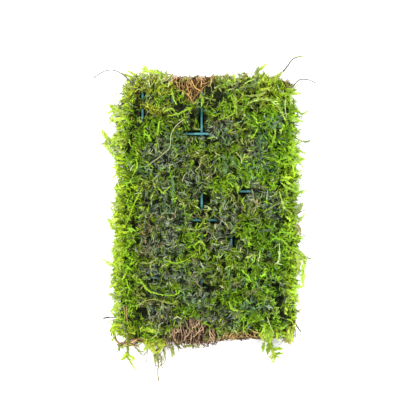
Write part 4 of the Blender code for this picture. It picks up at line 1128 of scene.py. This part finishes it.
# Fronds that reach out past the outline: colour, leaf length, how many lie side by side, and
# places in the photograph's pixels.
REACHING = (
    (LIME, 0.9, 2, ((133, 78), (126, 75), (121, 72))),
    (YELLOW, 0.8, 2, ((135, 76), (131, 72), (127, 70))),
    (LIME, 1.0, 4, ((162, 74), (157, 71), (150, 71), (146, 70), (143, 70), (144, 67), (142, 65))),
    (LIGHT_OLIVE, 0.6, 1, ((126, 93), (119, 93), (114, 94), (111, 95))),
    (STRAW, 0.3, 1, ((119, 109), (118, 105), (117, 102))),
    (LIME, 1.3, 4, ((125, 111), (118, 110), (113, 107), (108, 104))),
    (LIME, 1.0, 2, ((119, 109), (114, 109), (108, 112))),
    (LIME, 0.8, 2, ((115, 109), (113, 114), (111, 119), (106, 125))),
    (LIME, 1.0, 3, ((125, 118), (118, 119), (112, 119), (109, 122))),
    (LIGHT_OLIVE, 0.5, 1, ((124, 129), (118, 131), (112, 135))),
    (LIME, 1.1, 3, ((115, 141), (108, 139), (103, 134), (101, 129))),
    (LIME, 0.8, 1, ((105, 138), (106, 133))),
    (LIME, 1.0, 3, ((105, 139), (107, 144), (108, 149), (112, 154), (119, 159))),
    (LIME, 1.1, 3, ((106, 138), (112, 140), (118, 139), (126, 137))),
    (LIGHT_OLIVE, 1.1, 4, ((108, 141), (113, 146), (118, 149), (124, 154))),
    (PALE, 0.6, 1, ((106, 144), (102, 143), (97, 146))), (PALE, 0.5, 1, ((103, 143), (99, 141))),
    (LIME, 0.7, 1, ((117, 172), (114, 176), (112, 179))),
    (LIGHT_OLIVE, 0.9, 2, ((121, 203), (115, 204), (111, 207), (113, 212))),
    (LIME, 1.0, 3, ((120, 227), (112, 226), (109, 222), (107, 219))),
    (LIME, 1.0, 2, ((119, 218), (113, 219), (110, 223))),
    (LIME, 0.9, 2, ((121, 251), (115, 247), (111, 249))),
    (LIME, 1.0, 2, ((119, 267), (112, 263), (106, 261), (103, 259.5), (98, 260))),
    (LIME, 0.8, 2, ((117, 282), (112, 284), (109, 289))),
    (LIGHT_OLIVE, 1.0, 2, ((118, 298), (113, 296), (107.5, 293.5))),
    (LIME, 0.9, 2, ((121, 303), (115, 306), (111, 311))),
    (PALE, 0.6, 1, ((119, 319), (112, 320), (104, 321))),
    (LIME, 1.0, 4, ((120, 324), (113, 327), (109, 333))),
    (LIME, 0.6, 2, ((115, 337), (112, 339), (109, 339))),
    (LIME, 0.9, 3, ((118, 326), (113, 330), (112, 336))),
    (LIGHT_OLIVE, 0.6, 1, ((113, 328), (113.5, 336), (117, 343))),
    (LIGHT_OLIVE, 0.8, 3, ((117, 344), (123, 346), (130, 344))),
    (LIME, 0.9, 2, ((285, 95), (295, 92.5), (305, 92.5))),
    (LIME, 0.9, 1, ((287, 110), (296, 111), (301, 113), (305, 112), (308.5, 109))),
    (LIME, 1.3, 4, ((287, 116), (294, 119), (302, 121))),
    (LIGHT_OLIVE, 0.9, 1, ((289, 133), (296, 131), (301, 128.5))),
    (PALE, 0.5, 1, ((294, 137), (300, 140), (304, 141))),
    (PALE, 0.9, 1, ((303, 141), (307, 141), (310, 139))),
    (LIME, 0.9, 2, ((290, 145), (297, 149), (301, 151), (305, 152))),
    (LIME, 1.3, 5, ((289, 153), (296, 156), (303, 158.5))),
    (LIME, 1.2, 4, ((288, 163), (296, 161), (304, 158.5))),
    (LIME, 0.6, 1, ((294, 161), (300, 163), (303, 167))),
    (LIME, 0.5, 1, ((296, 178), (300, 175), (303, 172))),
    (LIME, 1.0, 2, ((289, 199), (296, 193), (301, 191), (305, 190))),
    (PALE, 0.4, 1, ((302, 191), (309, 189))),
    (LIGHT_OLIVE, 1.0, 2, ((294, 213), (299, 210), (300, 206), (297, 204.5))),
    (LIGHT_OLIVE, 0.9, 2, ((295, 211), (299, 205), (302, 203))),
    (LIGHT_OLIVE, 0.8, 1, ((297, 223), (301, 218), (305, 213))),
    (GOLDEN_MOSS, 0.8, 4, ((295, 224), (299, 228), (300, 234))),
    (LIME, 1.0, 4, ((292, 248), (299, 252), (305, 256))),
    (LIGHT_OLIVE, 0.7, 1, ((306, 256), (309, 258), (312, 257.5))),
    (LIME, 1.0, 4, ((300, 253), (304, 260), (303, 268), (303, 274), (305, 278))),
    (LIME, 1.0, 2, ((303, 273), (302, 280), (303.5, 285))),
    (YELLOW, 1.0, 4, ((296, 254), (299, 262), (298, 271))),
    (LIME, 1.0, 3, ((290, 284), (297, 286), (304, 286))),
    (YELLOW, 1.0, 3, ((290, 296), (295, 297), (298, 301))),
    (LIME, 0.9, 2, ((232, 83), (233, 78), (233, 74))),
    (LIME, 0.9, 2, ((259, 70), (263, 66), (266, 63))),
    (OLIVE, 0.9, 6, ((257, 78), (257, 71), (258, 66))),
    (LIGHT_OLIVE, 0.8, 2, ((266, 79), (264, 75), (263, 71))),
    (YELLOW, 1.0, 4, ((268, 86), (273, 80), (278, 75), (283, 70))),
    (PALE, 0.5, 1, ((294, 88), (297, 84), (299, 80))),
    (YELLOW, 1.0, 4, ((289, 326), (288, 334), (288, 339), (291, 344))),
    (YELLOW, 0.9, 2, ((292, 329), (292, 337), (293, 343))),
    (OLIVE, 1.0, 4, ((128, 338), (128, 345), (127.5, 353))),
    (LIME, 0.9, 2, ((127, 348), (126.5, 356), (129, 363), (132, 368), (136, 373))),
    (LIME, 0.9, 3, ((128, 354), (124, 357), (120, 361))),
    (LIME, 0.9, 2, ((127, 355), (132, 358), (131, 361))),
    (LIGHT_OLIVE, 0.7, 2, ((123, 344), (119, 347), (116, 353))),
    (LIGHT_OLIVE, 0.6, 2, ((132, 343), (137, 349), (142, 355), (145, 352), (147, 347))),
    (YELLOW, 0.9, 6, ((146, 341), (152, 347), (156, 353))),
    (YELLOW, 0.9, 5, ((157, 343), (160, 348), (158, 354))),
    (LIME, 1.0, 4, ((150, 341), (148, 346), (144, 349))),
    (LIGHT_OLIVE, 0.9, 4, ((172, 345), (172, 352), (172.5, 358))),
    (LIGHT_OLIVE, 0.5, 1, ((176, 345), (178, 348), (178, 352))),
    (LIGHT_OLIVE, 0.8, 2, ((182, 346), (190, 345), (199, 347))),
    (LIGHT_OLIVE, 0.6, 2, ((157, 352), (154, 357), (154, 363), (156, 367))),
    (DEEP_LIME, 1.2, 8, ((264, 322), (265, 330), (267, 338), (269, 345))),
    (YELLOW, 1.1, 6, ((264, 324), (265, 331), (267, 339))),
    (DEEP_LIME, 1.2, 8, ((270, 326), (269, 334), (270, 344))),
    (YELLOW, 1.0, 4, ((259, 332), (263, 337), (266, 341))),
    (LIME, 0.9, 3, ((264, 342), (262.5, 347), (263, 352))),
    (DEEP_LIME, 1.0, 6, ((268, 342), (268, 349), (267.5, 355))),
    (YELLOW, 1.0, 4, ((270, 344), (272, 350), (274, 357), (274.5, 361), (270, 364))),
    (LIME, 1.0, 1, ((272, 349), (277, 349), (282, 349))),
    (LIME, 1.0, 1, ((273, 353), (277, 354), (282, 353.5))), (LIME, 0.7, 1, ((274, 357), (279, 358))),
)
# The four sides: the edge, whether it is upright, the way out, half its length, its share of the
# fringe, and how far the fringe reaches there.
SIDES = ((LEFT_EDGE, 1, -1, 55.5, 0.31, 1.0), (RIGHT_EDGE, 1, 1, 55.5, 0.31, 0.85),
         (BOTTOM_EDGE, 0, -1, 34.5, 0.19, 0.8), (TOP_EDGE, 0, 1, 34.5, 0.19, 0.75))
FRINGE_DARK = (0.050, 0.036, 0.020)
# Fronds that start lower on the mat than this hang down and get no painted sheen.
LOWER_SIDE = -48.0
# How much longer the leaves are than their lengths in the table.
LEAF_DRAWN = 1.5


def rim_places(count, gap, rng):
    """Places on the moss's outer edge, the way out and how far the fringe reaches there."""
    sides = []
    for table, upright, sign, half, share, reach in SIDES:
        number = int(count * share)
        place = rng.uniform(-half, half, number)
        edge_place = edge_at(table, place)
        spot = np.column_stack([edge_place, place] if upright else [place, edge_place])
        out = np.tile([sign, 0.0] if upright else [0.0, sign], (number, 1))
        sides.append((spot, out, np.full(number, reach)))
    spots, outs, reaches = (np.concatenate(each) for each in zip(*sides))
    keep = field(spots[:, 0], spots[:, 1], 3.6, 9.0) > gap
    keep &= ~on_bed(*(spots - outs * 1.6).T) | (rng.uniform(0, 1, len(spots)) < 0.12)
    return spots[keep], outs[keep], reaches[keep]


def fringe_lines(rng, count, each, least, most, deepest, gap):
    """Lines of fans of fronds: those of one fan spring from one place and curl out together.

    Their roots are up to the deepest in from the edge, and their lengths run from the least
    to the most, in millimetres.
    """
    spots, outs, reaches = rim_places(count, gap, rng)
    fans = len(spots)
    level = rng.uniform(0, 1, fans)
    inward = level * rng.uniform(0.0, deepest, fans)
    roots = np.column_stack([spots - outs * inward[:, None], 2.5 + 6.6 * level])
    beside = np.column_stack([-outs[:, 1], outs[:, 0]]) * rng.normal(0, 0.8, (fans, 1))
    headings = np.column_stack([outs + beside, rng.normal(0.10, 0.2, fans) + 0.3 * (level - 0.4)])
    lengths = (least + (most - least) * rng.uniform(0, 1, fans) ** 1.6) * reaches
    curls = rng.normal(0, 0.85, (fans, 1, 1))
    of_fans = (roots, headings, lengths, curls)
    roots, headings, lengths, curls = (np.repeat(part, each, 0) for part in of_fans)
    number = len(roots)
    roots = roots + rng.normal(0, 0.45, (number, 3)) * (each > 1)
    headings = headings + rng.normal(0, 0.22, (number, 3)) * (each > 1)
    lengths = lengths * rng.uniform(0.55, 1.0, number)
    lines = wander(rng, roots, headings, lengths, 6, bend=0.2, wave=0.06, sag=0.25, curl=curls)
    lines[..., 2] = np.maximum(lines[..., 2], 0.5)
    return kept_in_body(lines, 0.3 if each == 1 else 1.1, rng)[0]


def reaching_line(places, rng, loose=0.0):
    """A line out over the mat's edge, falling toward the ground the farther out it is."""
    flat = from_photo(places)
    flat = flat + rng.normal(0, 1.0, flat.shape) * loose
    if loose:
        flat = flat[0] + (flat - flat[0]) * rng.uniform(0.6, 1.0)
    line = smooth_line(flat, 12)
    line = line[np.linspace(0, len(line) - 1, 12).round().astype(int)]
    past = np.clip(-np.minimum(*rim_distance(line[:, 0], line[:, 1])), -2.0, None)
    height = np.maximum(8.8 - 0.55 * past - 0.02 * past ** 2 + loose * rng.normal(0, 1.5), 1.2)
    return np.column_stack([line, height])


def fringe_colours(lines, rng):
    """Root and tip colours of fringe fronds: lime beside, duller at the ends and low down."""
    count = len(lines)
    x, y = lines[:, 0, 0], lines[:, 0, 1]
    ends = np.clip((np.abs(y) - 50) / 5, 0, 1) * np.clip((x + 24) / 6, 0, 1)
    pick = rng.uniform(0, 1, count) + 0.42 * ends * (np.abs(x - 25) > 3.5)
    steps = np.select([pick < 0.68, pick < 0.88, pick < 1.04], [0, 1, 2], 3)
    tips = np.array([LIME, FRESH, OLIVE, GOLDEN_MOSS])[steps]
    yellowish = (strength(YELLOW_SPOTS, x, y) > rng.uniform(0, 1, count)) & (steps < 2)
    tips[yellowish] = YELLOW
    # Pale fronds in the pale spots stand partly for painted light through backlit fronds.
    tips[strength(PALE_SPOTS, x, y) > rng.uniform(0.3, 1.3, count)] = PALE
    tips = shade(tips, rng, 0.25) * (0.8 + 0.2 * np.clip(lines[:, -1, 2:3] / 6.0, 0, 1))
    tips = tips * greener(x)
    return tips * rng.uniform(0.55, 0.85, (count, 1)), tips


rng = np.random.default_rng(33)
lines = fringe_lines(rng, count=1900, each=1, least=1.6, most=3.8, deepest=5.0, gap=-0.5)
short = fronds(rng, lines, *fringe_colours(lines, rng), leaf=0.75, leaves=12)
lines = fringe_lines(rng, count=260, each=4, least=3.0, most=7.5, deepest=3.6, gap=-0.3)
long = fronds(rng, lines, *fringe_colours(lines, rng), leaf=0.8, leaves=20, branches=1)
# The fringe takes more painted sheen, standing for light shining through its leaves.
moss_piece("moss_fringe_shoots", short, pale=0.38)
moss_piece("moss_fringe_fronds", long, pale=0.38)
lines, tips, leaf = [], [], []
for colour, length, beside, places in REACHING:
    for k in range(beside):
        lines.append(reaching_line(places, rng, 0.0 if k == 0 else 0.35 + 0.03 * beside))
        tips.append(colour)
        leaf.append(LEAF_DRAWN * length)
lines = np.array(lines)
# Reaching fronds above the lower side take a little painted sheen in their colour.
tip_sheen = np.where(lines[:, 0, 1:2] < LOWER_SIDE, 0.0, 0.05)
tips = shade(tips, rng, 0.28) * 0.80 * greener(lines[:, 0, 0]) + np.array(TIP_SHEEN_COLOUR) * tip_sheen
groups = fronds(rng, lines, tips * 0.65, tips, leaf, leaves=32, opening=0.55)
moss_piece("moss_reaching_fronds", groups)

# ---------------------------------------------------------------------------------------
# Bare stems: old ones, wiry and brown or grey, that run out past the fringe and bend down to
# the ground, one with a leafy end, and the twigs, threads and loops of fibre about the edge.
# ---------------------------------------------------------------------------------------
BARE_STEM = (0.115, 0.110, 0.100)
THREAD = (0.180, 0.168, 0.156)
BROWN_STEM = (0.150, 0.125, 0.060)
RUSTY_STEM = (0.130, 0.080, 0.036)
TAN_STEM = (0.550, 0.360, 0.200)
# Bare stems: colour, root and tip radius, and points.
BARE_STEMS = (
    (BARE_STEM, 0.32, 0.28, ((-33, 53.4, 8.8), (-37.0, 57.4, 8.2), (-41.6, 59.8, 6.6),
                             (-46.4, 59.2, 4), (-50.6, 56.6, 1.4))),
    (BARE_STEM, 0.40, 0.34, ((31.4, 59.0, 9.8), (33.6, 61.8, 8.4), (35.2, 64.2, 6.6),
                             (37.8, 65.6, 4.6))),
    (BARE_STEM, 0.32, 0.28, ((33.6, 50.6, 8.6), (36.4, 53.6, 8.4), (38.6, 55.6, 7.2),
                             (42.4, 55.8, 4.6), (45.6, 54.6, 2.2))),
    (BARE_STEM, 0.26, 0.18, ((-38.4, -46.6, 5.6), (-44.0, -47.0, 3.6), (-47.8, -47.8, 2.0))),
    (FRINGE_DARK, 0.40, 0.30, ((-43.6, -46.8, 3.9), (-46.0, -47.2, 3.0))),
    (BROWN_STEM, 0.34, 0.32, ((-22.6, -61, 4.6), (-22.4, -67.4, 2.4), (-22.6, -71.4, 1.4),
                              (-22.1, -75.0, 1.0))),
)
# The leafy end of the long stem at the upper right.
STEM_END = ((36.0, 64.8, 6.2), (38.6, 65.7, 4.6), (41.0, 66.0, 3.2))
# Twigs, threads and the loops of the tangle under the lower side: colour, radius, and places
# in the photograph's pixels.
TWIGS = (
    (FRINGE_DARK, 0.26, ((208, 79), (211, 76), (214, 73))),
    (FRINGE_DARK, 0.22, ((236, 73), (239, 74), (242, 75))),
    (FRINGE_DARK, 0.50, ((244, 72.5), (245.5, 75), (247.5, 77))),
    (FRINGE_DARK, 0.50, ((121.5, 103.3), (122.6, 103.5), (124, 103.7))),
    (FRINGE_DARK, 0.30, ((294, 322), (298, 328), (301, 332))),
    (FRINGE_DARK, 0.25, ((295, 309), (297, 310.5), (299, 312))),
    (BARE_STEM, 0.20, ((296, 214), (301, 211), (305, 209.5))),
    (BARE_STEM, 0.30, ((293, 98), (293.3, 102), (293, 106))),
    (FRINGE_DARK, 0.25, ((284, 342), (285, 341.5), (287, 341))),
    (FRINGE_DARK, 0.28, ((218, 340), (219.5, 340.5), (221, 340))),
    (FRINGE_DARK, 0.28, ((239.5, 338), (240.5, 339.5), (241.5, 340.5))),
    (FRINGE_DARK, 0.45, ((265.8, 349.5), (267, 350.5), (268, 351))),
    (FRINGE_DARK, 0.50, ((153.4, 354.6), (154.2, 355), (155, 355.4))),
    (FRINGE_DARK, 0.32, ((111.5, 332), (110.8, 334), (110, 336))),
    (FRINGE_DARK, 0.34, ((174, 341), (178, 346), (181, 348.5))),
    (FRINGE_DARK, 0.34, ((162, 345), (163, 348.5), (162, 351))),
    (RUSTY_STEM, 0.34, ((114.6, 333), (115.2, 338), (118, 342), (122, 343.5), (129, 341))),
    (BROWN_STEM, 0.20, ((156, 349), (154.5, 356), (155.5, 360), (154, 364), (156, 367))),
    (RUSTY_STEM, 0.20, ((163, 347), (163.5, 354), (165, 358), (163.5, 363), (160, 366), (158, 368))),
    (RUSTY_STEM, 0.30, ((158.5, 354), (161, 358), (160, 361), (161, 364))),
    (BROWN_STEM, 0.22, ((157, 351), (156, 357), (158, 363), (161, 360), (158.5, 356), (161, 352))),
    (BROWN_STEM, 0.20, ((154, 357), (157, 361), (160, 359), (163, 361))),
    (OLIVE, 0.3, ((155, 352), (153.5, 358), (155, 364))),
    (OLIVE, 0.26, ((164, 349), (164.5, 355), (162, 361), (159, 367))),
    (OLIVE, 0.24, ((155, 355), (159, 359), (163, 356))),
    (BROWN_STEM, 0.18, ((155, 366), (153, 370), (151, 372))),
    (BROWN_STEM, 0.16, ((160, 366), (163, 370), (166, 372))),
    (GOLDEN_FIBRE, 0.22, ((114, 340), (121, 343.5), (130, 342), (138, 338))),
    (GOLDEN_FIBRE, 0.2, ((113, 337), (117, 343), (127, 345))),
    (RUSTY_STEM, 0.22, ((118, 343), (126, 341.5), (133, 343), (139, 347))),
    (RUSTY_STEM, 0.30, ((124, 341), (132, 339), (140, 338.5), (146, 341))),
    (OLIVE, 0.30, ((140, 336), (147, 339), (152, 337), (157, 332))),
    (THREAD, 0.22, ((147, 348), (146, 358), (145, 368), (145.5, 376))),
    (THREAD, 0.16, ((212, 341), (212, 351), (207, 354), (202, 353))),
    (THREAD, 0.16, ((195, 348), (198, 352), (199, 356))),
    (THREAD, 0.16, ((301, 233), (307, 237), (310, 239), (315, 241))),
    (THREAD, 0.16, ((112, 96), (113, 101), (115, 106))),
    (THREAD, 0.14, ((168, 73), (170, 70), (172, 67))),
    (THREAD, 0.16, ((279, 334), (281, 338), (282, 341))),
    (TAN_STEM, 0.18, ((151, 80), (153, 76), (154, 72))),
    (TAN_STEM, 0.18, ((156, 83), (158, 78), (161, 74))),
    (TAN_STEM, 0.18, ((163, 82), (165, 77), (168, 73))),
    (TAN_STEM, 0.18, ((172, 83), (171, 78), (173, 74))),
    (TAN_STEM, 0.18, ((168, 82), (174, 78), (178, 73))),
)


def resampled(places, steps):
    """A smooth line through the places, as so many points, evenly spread along it."""
    line = smooth_line(places, 16)
    run = np.concatenate([[0], np.linalg.norm(np.diff(line, axis=0), axis=1).cumsum()])
    even = np.linspace(0, run[-1], steps)
    return np.column_stack([np.interp(even, run, line[:, k]) for k in range(3)])


rng = np.random.default_rng(64)
lines = resampled(STEM_END, 12) + rng.normal(0, 0.25, (3, 1, 3))
tips = np.tile(OLIVE, (3, 1))
moss_piece("moss_stem_end", fronds(rng, lines, tips * 0.8, tips, leaf=0.8, leaves=18))
groups = []
for colour, root_radius, tip_radius, places in BARE_STEMS:
    groups.append((resampled(places, 12)[None], np.array([colour]), root_radius, tip_radius, 6))
for colour, radius, places in TWIGS:
    groups.append((reaching_line(places, rng)[None], np.array([colour]), radius, radius * 0.8, 6))
bare_stem = tinted("bare moss stem", roughness=0.6, specular=0.2, speck_size=0.6, speck_depth=0.3)
hold_as_moss(strand_piece("moss_bare_stems", groups, bare_stem))

# ---------------------------------------------------------------------------------------
# The floor, the light and the camera: a white ground under broad soft panels that stand
# round it and leave no shadow on it, seen from straight above through a long lens.
# ---------------------------------------------------------------------------------------
WHITE = (1.0, 1.0, 1.0, 1.0)
GROUND_HALF, GROUND_DROP = 3000.0, 0.2
white, _, _, shader = plain_material("white ground", roughness=0.9, specular=0.5)
shader.inputs["Base Color"].default_value = WHITE
corners = [(x * GROUND_HALF, y * GROUND_HALF, 0) for x, y in ((-1, -1), (1, -1), (1, 1), (-1, 1))]
ground = closed_piece("ground", corners, [(0, 1, 2, 3)], white)
ground.location.z = -GROUND_DROP * MM
ground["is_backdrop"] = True

sky = bpy.data.worlds.new("soft white surround")
sky.use_nodes = True
sky.node_tree.nodes["Background"].inputs["Color"].default_value = WHITE
sky.node_tree.nodes["Background"].inputs["Strength"].default_value = 0.46
bpy.context.scene.world = sky
bpy.context.scene.view_settings.view_transform = "Standard"

# The panels: the way each stands from the mat in degrees, and its power in watts.
PANELS = ((125, 16.8), (35, 11.4), (215, 11.4), (305, 11.4))
PANEL_AWAY, PANEL_HIGH, PANEL_SIZE = 0.80, 0.95, 0.40
for number, (way, power) in enumerate(PANELS):
    light = bpy.data.lights.new(f"panel {number + 1}", "AREA")
    light.shape = "SQUARE"
    light.size = PANEL_SIZE
    light.energy = power
    lamp = bpy.data.objects.new(light.name, light)
    turn = math.radians(way)
    lamp.location = (PANEL_AWAY * math.cos(turn), PANEL_AWAY * math.sin(turn), PANEL_HIGH)
    lamp.rotation_euler = (-lamp.location).to_track_quat("-Z", "Y").to_euler()
    bpy.context.scene.collection.objects.link(lamp)

# What the camera shows, in metres: its width at a height within the moss, and its middle.
VIEW_WIDTH, VIEW_HEIGHT, VIEW_MIDDLE = 0.1787, 0.008, (-0.00086, 0.00043)
camera = bpy.data.cameras.new("camera")
camera.lens = 150.0
camera.sensor_width = 36.0
camera.clip_start, camera.clip_end = 0.05, 20.0
eye = bpy.data.objects.new("camera", camera)
away = VIEW_WIDTH * camera.lens / camera.sensor_width
eye.location = (*VIEW_MIDDLE, VIEW_HEIGHT + away)
bpy.context.scene.collection.objects.link(eye)
bpy.context.scene.camera = eye

low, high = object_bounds()
